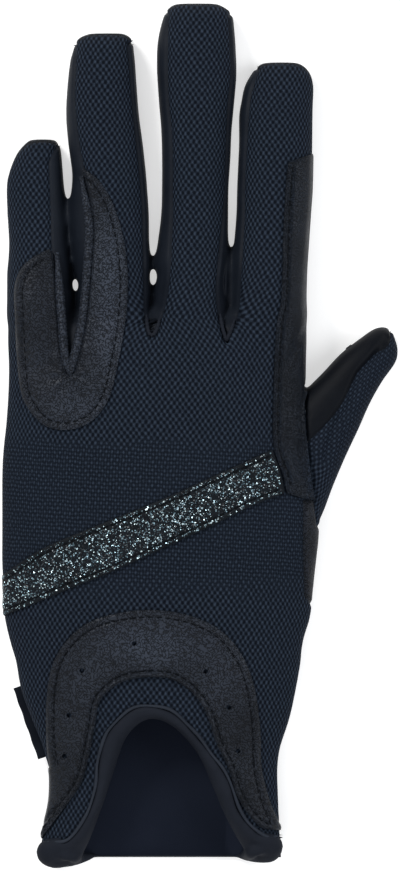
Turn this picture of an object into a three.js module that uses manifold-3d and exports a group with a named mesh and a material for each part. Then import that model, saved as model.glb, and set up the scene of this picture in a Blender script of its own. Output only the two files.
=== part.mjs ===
// A riding glove for the left hand, lying palm down with its back up: a knitted mesh back, a leather palm,
// smooth strips between the fingers, a two-panel thumb, leather patches for the reins and the wrist, a
// glitter band across the back, a soft rolled binding round the notched cuff and a blank tab in the side.
// Millimetres. +X to the thumb, +Y to the fingertips, +Z up. The glove is hollow and open at the cuff.
import * as THREE from "three";
import { mergeVertices } from "three/addons/utils/BufferGeometryUtils.js";
import Module from "manifold-3d";

const wasm = await Module();
wasm.setup();

// Cloth and leather.
const wall = 1.2; // thickness of the mesh, the leather and the finger strips
const patchThickness = 0.9; // leather and glitter pieces sewn on top of the back
const seamGap = 0.3; // clear space at each seam and under each patch

// Fingers, measured from the line of the finger crotches.
const littleLength = 42.8;
const ringLength = 70.6;
const middleLength = 78.6;
const indexLength = 63;
const littleWidth = 17;
const ringWidth = 19.9;
const middleWidth = 19.9;
const indexWidth = 19.2;
const littleThickness = 13.5;
const ringThickness = 15;
const middleThickness = 15.5;
const indexThickness = 15;
const fingerGap = 0.9;
const littleRingSlit = 18.5; // how far the back is slit past the crotches, between these two fingers
const ringMiddleSlit = 9.3;
const middleIndexSlit = 11.5;
const palmSlit = 2.5; // the same on the palm
const seamInset = 1.3; // from a finger's outline to the seam of its back panel, where it is least
const palmSeamInset = 2; // the same under the finger

// Hand and cuff.
const handLength = 147.6; // finger crotches to hem
const handThickness = 21;
const sideSeamHeight = 6; // height of the seam between back and palm
const notchDepth = 39; // of the V in the back of the cuff, from the hem
const bindingRadius = 2.1;
const cornerBindingRadius = 3.5;
const hemBindingRadius = 0.8;

// Thumb.
const thumbLength = 56.6;
const thumbWidth = 12.2;
const thumbThickness = 14;
const thumbAngle = 35; // degrees, away from the fingers

// Trim.
const bandWidth = 11.8;
const bandRise = 24; // degrees
const ventDiameter = 1.3;
const tabLength = 20;
const tabStandOut = 2.4;
const tabThickness = 1;

// Facets round each kind of tube.
const fingerSides = 12;
const handSides = 20;
const thumbSides = 12;
const bindingSides = 8;
const bindingSteps = 50;
const ventSides = 6;

// Each row is one cross-section: how far along the finger, its left and right edges as shares of the
// finger's width from its root's left edge, and its thickness as a share of the finger's.
const littleSections = [
  { along: -0.28, left: 0.01, right: 1, thick: 0.96 },
  { along: 0, left: 0, right: 1.02, thick: 1 },
  { along: 0.33, left: 0.005, right: 0.93, thick: 0.98 },
  { along: 0.6, left: -0.03, right: 0.905, thick: 0.95 },
  { along: 0.8, left: 0.02, right: 0.88, thick: 0.87 },
  { along: 0.89, left: 0.11, right: 0.83, thick: 0.78 },
  { along: 0.96, left: 0.26, right: 0.785, thick: 0.62 },
  { along: 1, left: 0.42, right: 0.68, thick: 0.36 },
];
const ringSections = [
  { along: -0.18, left: 0.02, right: 1, thick: 0.96 },
  { along: 0, left: 0, right: 1.02, thick: 1 },
  { along: 0.2, left: -0.05, right: 0.99, thick: 1 },
  { along: 0.43, left: -0.08, right: 0.945, thick: 0.97 },
  { along: 0.58, left: -0.11, right: 0.89, thick: 0.95 },
  { along: 0.74, left: -0.13, right: 0.827, thick: 0.92 },
  { along: 0.86, left: -0.098, right: 0.795, thick: 0.86 },
  { along: 0.945, left: -0.04, right: 0.767, thick: 0.74 },
  { along: 0.98, left: 0.05, right: 0.74, thick: 0.58 },
  { along: 1, left: 0.22, right: 0.62, thick: 0.36 },
];
const middleSections = [
  { along: -0.16, left: 0.02, right: 0.98, thick: 0.96 },
  { along: 0, left: 0, right: 0.995, thick: 1 },
  { along: 0.2, left: 0.04, right: 0.992, thick: 1 },
  { along: 0.34, left: 0.1, right: 0.992, thick: 0.98 },
  { along: 0.55, left: 0.095, right: 1.045, thick: 0.96 },
  { along: 0.71, left: 0.048, right: 1.085, thick: 0.93 },
  { along: 0.81, left: 0.035, right: 1.1, thick: 0.9 },
  { along: 0.89, left: 0.05, right: 1.075, thick: 0.84 },
  { along: 0.95, left: 0.11, right: 1.055, thick: 0.72 },
  { along: 0.98, left: 0.19, right: 0.97, thick: 0.58 },
  { along: 1, left: 0.41, right: 0.75, thick: 0.34 },
];
const indexSections = [
  { along: -0.2, left: 0.02, right: 0.95, thick: 0.96 },
  { along: 0, left: 0, right: 0.985, thick: 1 },
  { along: 0.19, left: -0.01, right: 1.01, thick: 1 },
  { along: 0.33, left: 0.02, right: 1.05, thick: 0.98 },
  { along: 0.5, left: 0.045, right: 1.09, thick: 0.96 },
  { along: 0.71, left: 0.069, right: 1.09, thick: 0.93 },
  { along: 0.83, left: 0.11, right: 1.11, thick: 0.9 },
  { along: 0.9, left: 0.165, right: 1.115, thick: 0.84 },
  { along: 0.95, left: 0.26, right: 1.085, thick: 0.72 },
  { along: 0.98, left: 0.38, right: 1, thick: 0.58 },
  { along: 1, left: 0.58, right: 0.84, thick: 0.34 },
];

// Where the seams of a finger's back panel run: how far in from the finger's left and right outline, as
// shares of the least seam inset. The strip between the little and the ring finger is the widest.
const littleSeams = [
  { along: 0, left: 1, right: 3.6 },
  { along: 0.4, left: 1, right: 3.1 },
  { along: 0.76, left: 1, right: 2.9 },
  { along: 0.94, left: 0.6, right: 0.9 },
];
const ringSeams = [
  { along: 0, left: 2.8, right: 1 },
  { along: 0.26, left: 4.4, right: 1 },
  { along: 0.5, left: 2.9, right: 1 },
  { along: 0.76, left: 1.8, right: 1 },
  { along: 0.94, left: 0.8, right: 0.6 },
];
const plainSeams = [
  { along: 0, left: 1.7, right: 1.2 },
  { along: 0.3, left: 1.9, right: 1 },
  { along: 0.76, left: 1.8, right: 1 },
  { along: 0.94, left: 0.8, right: 0.6 },
];

// The hand from the webs between the fingers down to the hem: how far down, its edges as shares of the
// hand's width, and its thickness as a share of the hand's.
const handSections = [
  { down: -0.024, left: 0.05, right: 0.95, thick: 0.16 },
  { down: -0.014, left: 0.035, right: 0.965, thick: 0.4 },
  { down: 0.005, left: 0.02, right: 0.98, thick: 0.63 },
  { down: 0.035, left: 0.008, right: 0.992, thick: 0.82 },
  { down: 0.07, left: -0.002, right: 1, thick: 0.93 },
  { down: 0.16, left: -0.002, right: 0.995, thick: 1 },
  { down: 0.25, left: -0.011, right: 1.007, thick: 1 },
  { down: 0.36, left: -0.021, right: 1.03, thick: 0.98 },
  { down: 0.4, left: -0.021, right: 1.052, thick: 0.97 },
  { down: 0.47, left: -0.022, right: 1.037, thick: 0.95 },
  { down: 0.57, left: -0.012, right: 1.013, thick: 0.9 },
  { down: 0.65, left: 0.027, right: 0.984, thick: 0.84 },
  { down: 0.73, left: 0.063, right: 0.958, thick: 0.77 },
  { down: 0.8, left: 0.114, right: 0.914, thick: 0.71 },
  { down: 0.86, left: 0.14, right: 0.909, thick: 0.67 },
  { down: 0.97, left: 0.1, right: 0.92, thick: 0.65 },
  { down: 1.03, left: 0.09, right: 0.925, thick: 0.65 },
];

// The thumb from its tip back into the hand: edges as shares of the thumb's width, across its axis.
const thumbSections = [
  { back: 0, left: -0.22, right: -0.02, thick: 0.36 },
  { back: 0.02, left: -0.33, right: 0.08, thick: 0.56 },
  { back: 0.05, left: -0.42, right: 0.26, thick: 0.7 },
  { back: 0.107, left: -0.52, right: 0.4, thick: 0.84 },
  { back: 0.22, left: -0.68, right: 0.4, thick: 0.95 },
  { back: 0.343, left: -0.76, right: 0.46, thick: 1 },
  { back: 0.466, left: -0.86, right: 0.575, thick: 1.03 },
  { back: 0.6, left: -0.93, right: 0.68, thick: 1.05 },
  { back: 0.75, left: -0.9, right: 0.83, thick: 1.07 },
  { back: 0.9, left: -0.8, right: 1, thick: 1.05 },
  { back: 1, left: -0.7, right: 1.02, thick: 1 },
];

// The fingers stand side by side along the crotch line, y = 0, so the hand is as wide as they are.
const fingers = [
  { length: littleLength, width: littleWidth, thickness: littleThickness },
  { length: ringLength, width: ringWidth, thickness: ringThickness },
  { length: middleLength, width: middleWidth, thickness: middleThickness },
  { length: indexLength, width: indexWidth, thickness: indexThickness },
];
const fingerSections = [littleSections, ringSections, middleSections, indexSections];
const fingerSeams = [littleSeams, ringSeams, plainSeams, plainSeams];
let fingerStart = 0;
fingers.forEach((finger, i) => {
  finger.start = fingerStart;
  finger.sections = fingerSections[i];
  finger.seams = fingerSeams[i];
  fingerStart += finger.width + fingerGap;
});
const handWidth = fingerStart - fingerGap;
const [little, ring, middle, index] = fingers;

// A closed mesh as a manifold solid.
function solidOf(geometry) {
  const bare = geometry.clone();
  bare.deleteAttribute("normal");
  bare.deleteAttribute("uv");
  const merged = mergeVertices(bare, 1e-4);
  return new wasm.Manifold(
    new wasm.Mesh({
      numProp: 3,
      vertProperties: merged.attributes.position.array,
      triVerts: new Uint32Array(merged.index.array),
    }),
  );
}

// Skins a row of rings of points, closed by a fan at each end, or into a loop with no ends.
function loftOf(rings, loop = false) {
  const sides = rings[0].length;
  const points = rings.flat();
  const faces = [];
  const last = loop ? rings.length : rings.length - 1;
  for (let i = 0; i < last; i++) {
    const here = i * sides;
    const next = ((i + 1) % rings.length) * sides;
    for (let j = 0; j < sides; j++) {
      const k = (j + 1) % sides;
      faces.push(here + j, here + k, next + j, here + k, next + k, next + j);
    }
  }
  if (!loop) {
    for (const [i, turn] of [[0, 1], [rings.length - 1, 0]]) {
      const centre = points.length;
      const middlePoint = new THREE.Vector3();
      rings[i].forEach((p) => middlePoint.addScaledVector(p, 1 / sides));
      points.push(middlePoint);
      for (let j = 0; j < sides; j++) {
        const a = i * sides + j;
        const b = i * sides + ((j + 1) % sides);
        faces.push(centre, turn ? b : a, turn ? a : b);
      }
    }
  }
  const geometry = new THREE.BufferGeometry();
  const numbers = points.flatMap((p) => [p.x, p.y, p.z]);
  geometry.setAttribute("position", new THREE.Float32BufferAttribute(numbers, 3));
  geometry.setIndex(faces);
  const solid = solidOf(geometry);
  if (solid.volume() > 0) return solid;
  for (let i = 0; i < faces.length; i += 3) [faces[i], faces[i + 1]] = [faces[i + 1], faces[i]];
  geometry.setIndex(faces);
  return solidOf(geometry);
}

// A soft tube's section: a rounded oblong, flattened where it rests. inset draws it in all round,
// or lets it out when negative. Returns [across, height] pairs.
const roundness = 2.5; // 2 is an ellipse, more is squarer
const restingPress = 0.8; // how far the round underside is pressed flat by the table
const bellyShare = 0.45; // height of the widest point
const leastHalf = 0.3;
function sectionOf(left, right, thickness, inset, sides) {
  const centre = (left + right) / 2;
  const halfWidth = Math.max((right - left) / 2 - inset, leastHalf);
  const belly = thickness * bellyShare;
  const above = Math.max(thickness - belly - inset, leastHalf);
  const below = Math.max(belly + restingPress - inset, leastHalf);
  const power = (v) => Math.sign(v) * Math.abs(v) ** (2 / roundness);
  return Array.from({ length: sides }, (_, j) => {
    const turn = (j / sides) * 2 * Math.PI;
    const rise = Math.sin(turn);
    const height = belly + (rise > 0 ? above : below) * power(rise);
    return [centre + halfWidth * power(Math.cos(turn)), Math.max(height, inset)];
  });
}

// Height of the outside of a section over one point across it.
function topAt(left, right, thickness, across) {
  const off = Math.min(Math.abs((2 * across - left - right) / (right - left)), 1);
  const belly = thickness * bellyShare;
  return belly + (thickness - belly) * (1 - off ** roundness) ** (1 / roundness);
}

// Reads a column of a table between its rows.
function read(table, key, at, column) {
  const rows = [...table].sort((a, b) => a[key] - b[key]);
  const i = Math.min(Math.max(rows.findIndex((r) => r[key] >= at), 1), rows.length - 1);
  const share = THREE.MathUtils.clamp((at - rows[i - 1][key]) / (rows[i][key] - rows[i - 1][key]), 0, 1);
  return THREE.MathUtils.lerp(rows[i - 1][column], rows[i][column], share);
}

const fingerEdge = (finger, along, side) =>
  finger.start + finger.width * read(finger.sections, "along", along, side);
const fingerLeft = (finger, along) => fingerEdge(finger, along, "left");
const fingerRight = (finger, along) => fingerEdge(finger, along, "right");

function fingerTube(finger, inset) {
  const rings = finger.sections.map((row) => {
    const left = finger.start + finger.width * row.left;
    const right = finger.start + finger.width * row.right;
    const y = row.along * (finger.length - inset);
    return sectionOf(left, right, finger.thickness * row.thick, inset, fingerSides).map(
      ([x, z]) => new THREE.Vector3(x, y, z),
    );
  });
  return loftOf(rings);
}

const handLeft = (down) => handWidth * read(handSections, "down", down, "left");
const handRight = (down) => handWidth * read(handSections, "down", down, "right");
const handThick = (down) => handThickness * read(handSections, "down", down, "thick");
const handTop = (x, y) => {
  const down = -y / handLength;
  return topAt(handLeft(down), handRight(down), handThick(down), x);
};

function handTube(inset) {
  const rings = handSections.map((row, i) => {
    const y = -row.down * handLength - (i < 2 ? inset : 0);
    return sectionOf(
      handWidth * row.left,
      handWidth * row.right,
      handThickness * row.thick,
      inset,
      handSides,
    ).map(([x, z]) => new THREE.Vector3(x, y, z));
  });
  return loftOf(rings);
}

// The thumb leaves the hand's side at an angle. Its own frame has its axis along its length.
const thumbTurn = THREE.MathUtils.degToRad(thumbAngle);
const thumbAlong = new THREE.Vector2(Math.sin(thumbTurn), Math.cos(thumbTurn));
const thumbAcross = new THREE.Vector2(Math.cos(thumbTurn), -Math.sin(thumbTurn));
const rootAcrossShare = 0.883; // place of the thumb's root in the hand, as shares of its width and length
const rootDownShare = 0.37;
const thumbRoot = new THREE.Vector2(handWidth * rootAcrossShare, -handLength * rootDownShare);
const thumbPoint = (back, across) =>
  thumbRoot
    .clone()
    .addScaledVector(thumbAlong, thumbLength * (1 - back))
    .addScaledVector(thumbAcross, across);

function thumbTube(inset) {
  const rings = thumbSections.map((row) =>
    sectionOf(
      thumbWidth * row.left,
      thumbWidth * row.right,
      thumbThickness * row.thick,
      inset,
      thumbSides,
    ).map(([across, z]) => {
      const p = thumbPoint(row.back + (inset / thumbLength) * (1 - row.back), across);
      return new THREE.Vector3(p.x, p.y, z);
    }),
  );
  return loftOf(rings);
}

// The hand with its four fingers, drawn in by an inset or let out by a negative one.
const bodies = new Map();
function bodyOf(inset) {
  if (!bodies.has(inset)) {
    bodies.set(
      inset,
      fingers.reduce((whole, finger) => whole.add(fingerTube(finger, inset)), handTube(inset)),
    );
  }
  return bodies.get(inset);
}

// An upright prism over an outline, from one height to another.
const wayUp = 60; // over the top of the glove
const wayDown = -20;
const distinct = (outline) =>
  outline.filter((p, i) => p.distanceTo(outline[(i + outline.length - 1) % outline.length]) > 1e-3);
function prismOf(outline, low = wayDown, high = wayUp) {
  const shape = new THREE.Shape(distinct(outline));
  const geometry = new THREE.ExtrudeGeometry(shape, { depth: high - low, bevelEnabled: false });
  return solidOf(geometry.translate(0, 0, low));
}

// Moves a closed outline out by a distance, square to its sides.
function grown(outline, distance) {
  const corners = distinct(outline);
  const sign = THREE.ShapeUtils.area(corners) > 0 ? 1 : -1;
  return corners.map((p, i) => {
    const before = corners[(i + corners.length - 1) % corners.length];
    const after = corners[(i + 1) % corners.length];
    const a = p.clone().sub(before).normalize();
    const b = after.clone().sub(p).normalize();
    const outwards = new THREE.Vector2(a.y + b.y, -a.x - b.x).normalize();
    const stretch = 1 / Math.max(Math.sqrt((1 + a.dot(b)) / 2), 0.5);
    return p.clone().addScaledVector(outwards, sign * distance * stretch);
  });
}

// A smooth outline through a few points.
const smooth = (points, steps) => new THREE.SplineCurve(points).getPoints(steps);
const at = (x, y) => new THREE.Vector2(x, y);

// A place on the hand: shares of its width from the little finger's side and of its length down.
const onHand = (x, down) => at(handWidth * x, -handLength * down);

// The outline of the four finger panels and the hand behind them. Between two fingers it runs down to
// the end of a slit; beyond the glove's own outline it only has to clear it.
const wayOut = 12;
const seamEnd = 0.94; // where the side seams meet the seam round the tip, as a share of the finger
const seamSteps = [0, 0.26, 0.5, 0.76, seamEnd];
const seamAt = (finger, along, side) => seamInset * read(finger.seams, "along", along, side);
const palmSeam = () => palmSeamInset;
function panelOutline(insetAt, slits, rightSide) {
  const outline = [];
  fingers.forEach((finger, i) => {
    const leftEdge = (s) => fingerLeft(finger, s) + (i === 0 ? -wayOut : insetAt(finger, s, "left"));
    const rightEdge = (s) =>
      fingerRight(finger, s) + (i === fingers.length - 1 ? wayOut : -insetAt(finger, s, "right"));
    const tipLeft = Math.min(leftEdge(seamEnd), fingerLeft(finger, seamEnd) - fingerGap / 3);
    const tipRight = Math.max(rightEdge(seamEnd), fingerRight(finger, seamEnd) + fingerGap / 3);
    seamSteps.forEach((s) => outline.push(at(leftEdge(s), s * finger.length)));
    outline.push(at(tipLeft, finger.length * seamEnd), at(tipLeft, finger.length + wayOut));
    outline.push(at(tipRight, finger.length + wayOut), at(tipRight, finger.length * seamEnd));
    [...seamSteps].reverse().forEach((s) => outline.push(at(rightEdge(s), s * finger.length)));
    if (i < slits.length) {
      const from = rightEdge(0);
      const to = fingerLeft(fingers[i + 1], 0) + insetAt(fingers[i + 1], 0, "left");
      const { end, lean } = slits[i];
      for (const [across, down] of [[-0.9, 0.4], [-0.6, 0.8], [0, 1], [0.6, 0.8], [0.9, 0.4]]) {
        outline.push(at((from + to) / 2 + (across * (to - from)) / 2 - lean * end * down, -end * down));
      }
    }
  });
  outline.push(...rightSide);
  outline.push(onHand(1, 1.2), onHand(-0.3, 1.2));
  return outline;
}

// Where the slits between the fingers end, down the back and down the palm, and how far each leans to the
// little finger's side on its way, as a share of its length.
const backSlits = [
  { end: littleRingSlit, lean: 0.108 },
  { end: ringMiddleSlit, lean: 0.097 },
  { end: middleIndexSlit, lean: 0.026 },
];
const palmSlits = backSlits.map(() => ({ end: palmSlit, lean: 0 }));

// The leather of the palm comes up over the thumb's side of the hand below the index strip.
const bandTopShare = 0.358; // shares of the hand's length, and of its width
const bandMiddleShare = 0.45;
const bandLowShare = 0.53;
const bandFootShare = 0.62;
const bandEdgeShare = 0.993;
const backRightSide = [
  at(handWidth + wayOut, 0),
  at(handWidth + wayOut, -handLength * bandTopShare),
  onHand(bandEdgeShare, bandTopShare),
  onHand(bandEdgeShare, bandMiddleShare),
  onHand(1, bandLowShare),
  at(handWidth + wayOut, -handLength * bandFootShare),
];
const backOutline = panelOutline(seamAt, backSlits, backRightSide);
const palmOutline = panelOutline(palmSeam, palmSlits, [at(handWidth + wayOut, 0)]);

// The soft rolled binding runs up one side of the notch, down the other, and back along the hem of the palm.
// Rows give the notch's edges: how deep, and how far to each side of its top, as shares of its depth.
const notchTopShare = 0.466; // share of the hand's width
const notchSections = [
  { up: 0.13, left: 0.53, right: 0.68 },
  { up: 0.25, left: 0.42, right: 0.6 },
  { up: 0.42, left: 0.33, right: 0.53 },
  { up: 0.63, left: 0.26, right: 0.43 },
  { up: 0.82, left: 0.2, right: 0.31 },
  { up: 0.94, left: 0.11, right: 0.16 },
];
const leftCornerRaise = 0.1; // how far the middle of the binding lies above the hem at each corner
const rightCornerRaise = 2.4;
const notchPoint = (up, side) =>
  at(handWidth * notchTopShare + notchDepth * side, -handLength + notchDepth * up);
const notchLeft = notchSections.map((row) => notchPoint(row.up, -row.left));
const notchRight = notchSections.map((row) => notchPoint(row.up, row.right));
const notchTop = notchPoint(1, 0);
const cornerHeight = handThick(1) * bellyShare;
const leftCorner = at(handLeft(1) + wall * 2, -handLength + leftCornerRaise);
const rightCorner = at(handRight(1) - wall * 2, -handLength + rightCornerRaise);
const besideLeft = leftCorner.clone().lerp(notchLeft[0], 0.5).add(at(0, -wall));
const besideRight = rightCorner.clone().lerp(notchRight[0], 0.5).add(at(0, -wall));

const onTop = (p) => new THREE.Vector3(p.x, p.y, handTop(p.x, p.y) - wall / 2);
const atCorner = (p) => new THREE.Vector3(p.x, p.y, cornerHeight);
const hemPoint = (share) =>
  new THREE.Vector3(
    THREE.MathUtils.lerp(leftCorner.x, rightCorner.x, share),
    -handLength + hemBindingRadius,
    hemBindingRadius,
  );
const bindingPath = new THREE.CatmullRomCurve3(
  [
    atCorner(leftCorner),
    onTop(besideLeft),
    ...notchLeft.map(onTop),
    onTop(notchTop),
    ...[...notchRight].reverse().map(onTop),
    onTop(besideRight),
    atCorner(rightCorner),
    hemPoint(0.88),
    hemPoint(0.62),
    hemPoint(0.38),
    hemPoint(0.12),
  ],
  true,
);
// Thick at the two corners, slim along the hem.
function bindingSize(p) {
  const fromLeft = Math.hypot(p.x - leftCorner.x, p.y - leftCorner.y);
  const fromRight = Math.hypot(p.x - rightCorner.x, p.y - rightCorner.y);
  const corner = THREE.MathUtils.clamp(1 - Math.min(fromLeft, fromRight) / (notchDepth / 3), 0, 1);
  const low = THREE.MathUtils.clamp(1 - (p.z - hemBindingRadius) / cornerHeight, 0, 1);
  const full = THREE.MathUtils.lerp(bindingRadius, cornerBindingRadius, corner);
  return Math.min(THREE.MathUtils.lerp(full, hemBindingRadius, low ** 0.7), p.z);
}

function bindingTube(extra) {
  const frames = bindingPath.computeFrenetFrames(bindingSteps, true);
  const rings = Array.from({ length: bindingSteps }, (_, i) => {
    const centre = bindingPath.getPointAt(i / bindingSteps);
    const radius = bindingSize(centre) + extra;
    return Array.from({ length: bindingSides }, (_, j) => {
      const turn = (j / bindingSides) * 2 * Math.PI;
      return centre
        .clone()
        .addScaledVector(frames.normals[i], radius * Math.cos(turn))
        .addScaledVector(frames.binormals[i], radius * Math.sin(turn));
    });
  });
  return loftOf(rings, true);
}

// What the notch and the hem cut away from the cloth: everything beyond the binding's middle line.
const notchOutline = [
  leftCorner,
  besideLeft,
  ...notchLeft,
  notchTop,
  ...[...notchRight].reverse(),
  besideRight,
  rightCorner,
];
const hemLow = -handLength - notchDepth;
const notchCut = prismOf(
  [at(leftCorner.x, hemLow), ...smooth(notchOutline, 28), at(rightCorner.x, hemLow)],
  sideSeamHeight - seamGap,
);
const beyondHem = (y) =>
  prismOf([at(-wayOut, hemLow), at(handWidth + wayOut, hemLow), at(handWidth + wayOut, y), at(-wayOut, y)]);
const hemCut = beyondHem(-handLength + hemBindingRadius);
const bindingRoom = bindingTube(seamGap);

// The walls, before they are parted at the seams.
const thumbOutside = thumbTube(0);
const thumbInside = thumbTube(wall);
const cavity = bodyOf(wall).add(
  handTube(wall).translate([0, -wayOut, 0]).intersect(beyondHem(-handLength + cornerBindingRadius)),
);
const walls = bodyOf(0)
  .subtract(cavity)
  .subtract(thumbInside)
  .subtract(notchCut)
  .subtract(hemCut)
  .subtract(bindingRoom);

const beyond = 3 * (handLength + middleLength); // past the glove on every side
const everywhere = [at(-beyond, -beyond), at(beyond, -beyond), at(beyond, beyond), at(-beyond, beyond)];
const above = (height) => prismOf(everywhere, height, wayUp);
const below = (height) => prismOf(everywhere, wayDown, height);

// Back: all that the back's outline covers above the side seam.
const back = walls.intersect(prismOf(backOutline)).intersect(above(sideSeamHeight));

// Palm: what lies below the side seam, and the band that comes up over the thumb's side.
const sideBand = prismOf([
  onHand(bandEdgeShare - 0.2, bandTopShare + 0.004),
  at(handWidth + wayOut, -handLength * (bandTopShare + 0.004)),
  at(handWidth + wayOut, -handLength * (bandFootShare + 0.1)),
  onHand(bandEdgeShare - 0.2, bandFootShare + 0.1),
])
  .subtract(prismOf(grown(backOutline, seamGap)))
  .intersect(above(sideSeamHeight - 2 * seamGap));
const palm = walls.intersect(
  prismOf(palmOutline).intersect(below(sideSeamHeight - seamGap)).add(sideBand),
);

// Finger strips: the walls between two fingers that neither panel covers.
const backRoom = prismOf(grown(backOutline, seamGap)).intersect(above(sideSeamHeight - seamGap));
const palmRoom = prismOf(grown(palmOutline, seamGap)).intersect(below(sideSeamHeight));
const centreOf = (finger) => (fingerLeft(finger, 0.5) + fingerRight(finger, 0.5)) / 2;
function fingerStrip(finger, next) {
  const low = -handLength * 0.2;
  const region = [
    at(centreOf(finger), low),
    at(centreOf(next), low),
    at(centreOf(next), next.length + wayOut),
    at(centreOf(finger), finger.length + wayOut),
  ];
  return walls.intersect(prismOf(region)).subtract(backRoom).subtract(palmRoom);
}

// The glove's outline seen from above, without the thumb. What is sewn on ends at it.
const planOf = (left, right, steps, y) => prismOf([
  ...steps.map((s) => at(left(s), y(s))),
  ...[...steps].reverse().map((s) => at(right(s), y(s))),
]);
const plan = fingers.reduce(
  (whole, finger) =>
    whole.add(
      planOf(
        (s) => fingerLeft(finger, s),
        (s) => fingerRight(finger, s),
        finger.sections.map((row) => row.along),
        (s) => s * finger.length,
      ),
    ),
  planOf(handLeft, handRight, handSections.map((row) => row.down), (s) => -s * handLength),
);

// A piece sewn on top of the back, as wide as its outline.
function patchOf(outline) {
  return bodyOf(-seamGap - patchThickness)
    .subtract(bodyOf(-seamGap))
    .intersect(prismOf(outline))
    .intersect(plan)
    .intersect(above(sideSeamHeight))
    .subtract(bindingRoom);
}

// Rein patch: leather over the root of the little and the ring finger, slit between them.
const reinOutside = [
  { x: 0.137, down: -0.09 },
  { x: 0.073, down: -0.071 },
  { x: 0.04, down: -0.047 },
  { x: 0.026, down: -0.01 },
  { x: 0.036, down: 0.115 },
  { x: 0.08, down: 0.199 },
  { x: 0.124, down: 0.223 },
  { x: 0.181, down: 0.232 },
  { x: 0.245, down: 0.226 },
  { x: 0.302, down: 0.206 },
  { x: 0.346, down: 0.169 },
  { x: 0.369, down: 0.115 },
  { x: 0.3995, down: 0 },
  { x: 0.3995, down: -0.056 },
  { x: 0.386, down: -0.114 },
  { x: 0.352, down: -0.171 },
  { x: 0.309, down: -0.212 },
  { x: 0.262, down: -0.235 },
];
const onHandRows = (rows) => rows.map(({ x, down }) => onHand(x, down));
const [reinSlit] = backSlits;
const slitX = (fingerRight(little, 0) + fingerLeft(ring, 0)) / 2 - reinSlit.lean * reinSlit.end;
const reinSeam = (finger, side, along) =>
  at(
    side === "left"
      ? fingerLeft(finger, along) + seamAt(finger, along, side)
      : fingerRight(finger, along) - seamAt(finger, along, side),
    along * finger.length,
  );
const reinOnRing = [0.49, 0.38, 0.26, 0.13, 0]; // where it follows each finger's seam, along the finger
const reinOnLittle = [0, 0.16, 0.3];
const reinInside = [
  ...reinOnRing.map((along) => reinSeam(ring, "left", along)),
  at(slitX + seamInset, -reinSlit.end * 0.85),
  at(slitX, -reinSlit.end),
  at(slitX - seamInset, -reinSlit.end * 0.85),
  ...reinOnLittle.map((along) => reinSeam(little, "right", along)),
];
const reinPatch = patchOf([...smooth(onHandRows(reinOutside), 24), ...reinInside]);

// Index strip: leather down the thumb's side of the index finger and knuckle.
const stripOutside = [
  { x: 0.937, down: -0.246 },
  { x: 0.934, down: -0.217 },
  { x: 0.924, down: -0.126 },
  { x: 0.9176, down: -0.004 },
  { x: 0.901, down: 0.051 },
  { x: 0.891, down: 0.155 },
  { x: 0.891, down: 0.258 },
  { x: 0.921, down: 0.31 },
  { x: 0.95, down: 0.342 },
  { x: 1.02, down: bandTopShare - seamGap / handLength },
];
const stripTopShare = 0.262; // above the crotches, as a share of the hand's length, at the finger's side
const stripOutline = [
  ...onHandRows(stripOutside),
  at(handWidth + wayOut, -handLength * bandTopShare + seamGap),
  at(handWidth + wayOut, handLength * stripTopShare),
  at(handWidth, handLength * stripTopShare),
];
const indexStrip = patchOf(stripOutline);
const stripRoom = bodyOf(-2 * seamGap - patchThickness)
  .intersect(prismOf(grown(stripOutline, seamGap)))
  .intersect(above(sideSeamHeight - seamGap));

// Glitter band: slants across the back from the side seam to the index strip.
const bandTurn = THREE.MathUtils.degToRad(bandRise);
const bandFoot = onHand(-0.06, 0.536);
const bandRun = handWidth * 1.2;
const bandCorner = (along, side) =>
  at(
    bandFoot.x + along * Math.cos(bandTurn) - (side * bandWidth * Math.sin(bandTurn)) / 2,
    bandFoot.y + along * Math.sin(bandTurn) + (side * bandWidth * Math.cos(bandTurn)) / 2,
  );
const bandOutline = [bandCorner(0, -1), bandCorner(bandRun, -1), bandCorner(bandRun, 1), bandCorner(0, 1)];
const glitterBand = patchOf(bandOutline).subtract(prismOf(grown(stripOutline, seamGap)));

// Wrist panel: a leather horseshoe round the notch with a row of vent holes.
const wristOutside = [
  { x: 0.117, down: 0.965 },
  { x: 0.15, down: 0.9 },
  { x: 0.148, down: 0.834 },
  { x: 0.1305, down: 0.741 },
  { x: 0.1375, down: 0.686 },
  { x: 0.1575, down: 0.643 },
  { x: 0.201, down: 0.605 },
  { x: 0.272, down: 0.575 },
  { x: 0.363, down: 0.559 },
  { x: 0.48, down: 0.552 },
  { x: 0.601, down: 0.561 },
  { x: 0.706, down: 0.586 },
  { x: 0.773, down: 0.623 },
  { x: 0.8166, down: 0.6715 },
  { x: 0.837, down: 0.723 },
  { x: 0.85, down: 0.834 },
  { x: 0.874, down: 0.89 },
  { x: 0.907, down: 0.938 },
];
const wristInside = [
  { x: 0.88, down: 0.953 },
  { x: 0.8436, down: 0.938 },
  { x: 0.773, down: 0.87 },
  { x: 0.739, down: 0.825 },
  { x: 0.699, down: 0.78 },
  { x: 0.6686, down: 0.738 },
  { x: 0.628, down: 0.7055 },
  { x: 0.564, down: 0.6786 },
  { x: 0.487, down: 0.6715 },
  { x: 0.403, down: 0.677 },
  { x: 0.342, down: 0.695 },
  { x: 0.305, down: 0.72 },
  { x: 0.272, down: 0.816 },
  { x: 0.245, down: 0.8646 },
  { x: 0.1877, down: 0.909 },
];
const vents = [
  { x: 0.191, down: 0.815 },
  { x: 0.205, down: 0.741 },
  { x: 0.248, down: 0.661 },
  { x: 0.423, down: 0.6125 },
  { x: 0.662, down: 0.6626 },
  { x: 0.739, down: 0.727 },
  { x: 0.7695, down: 0.8056 },
];
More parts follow.
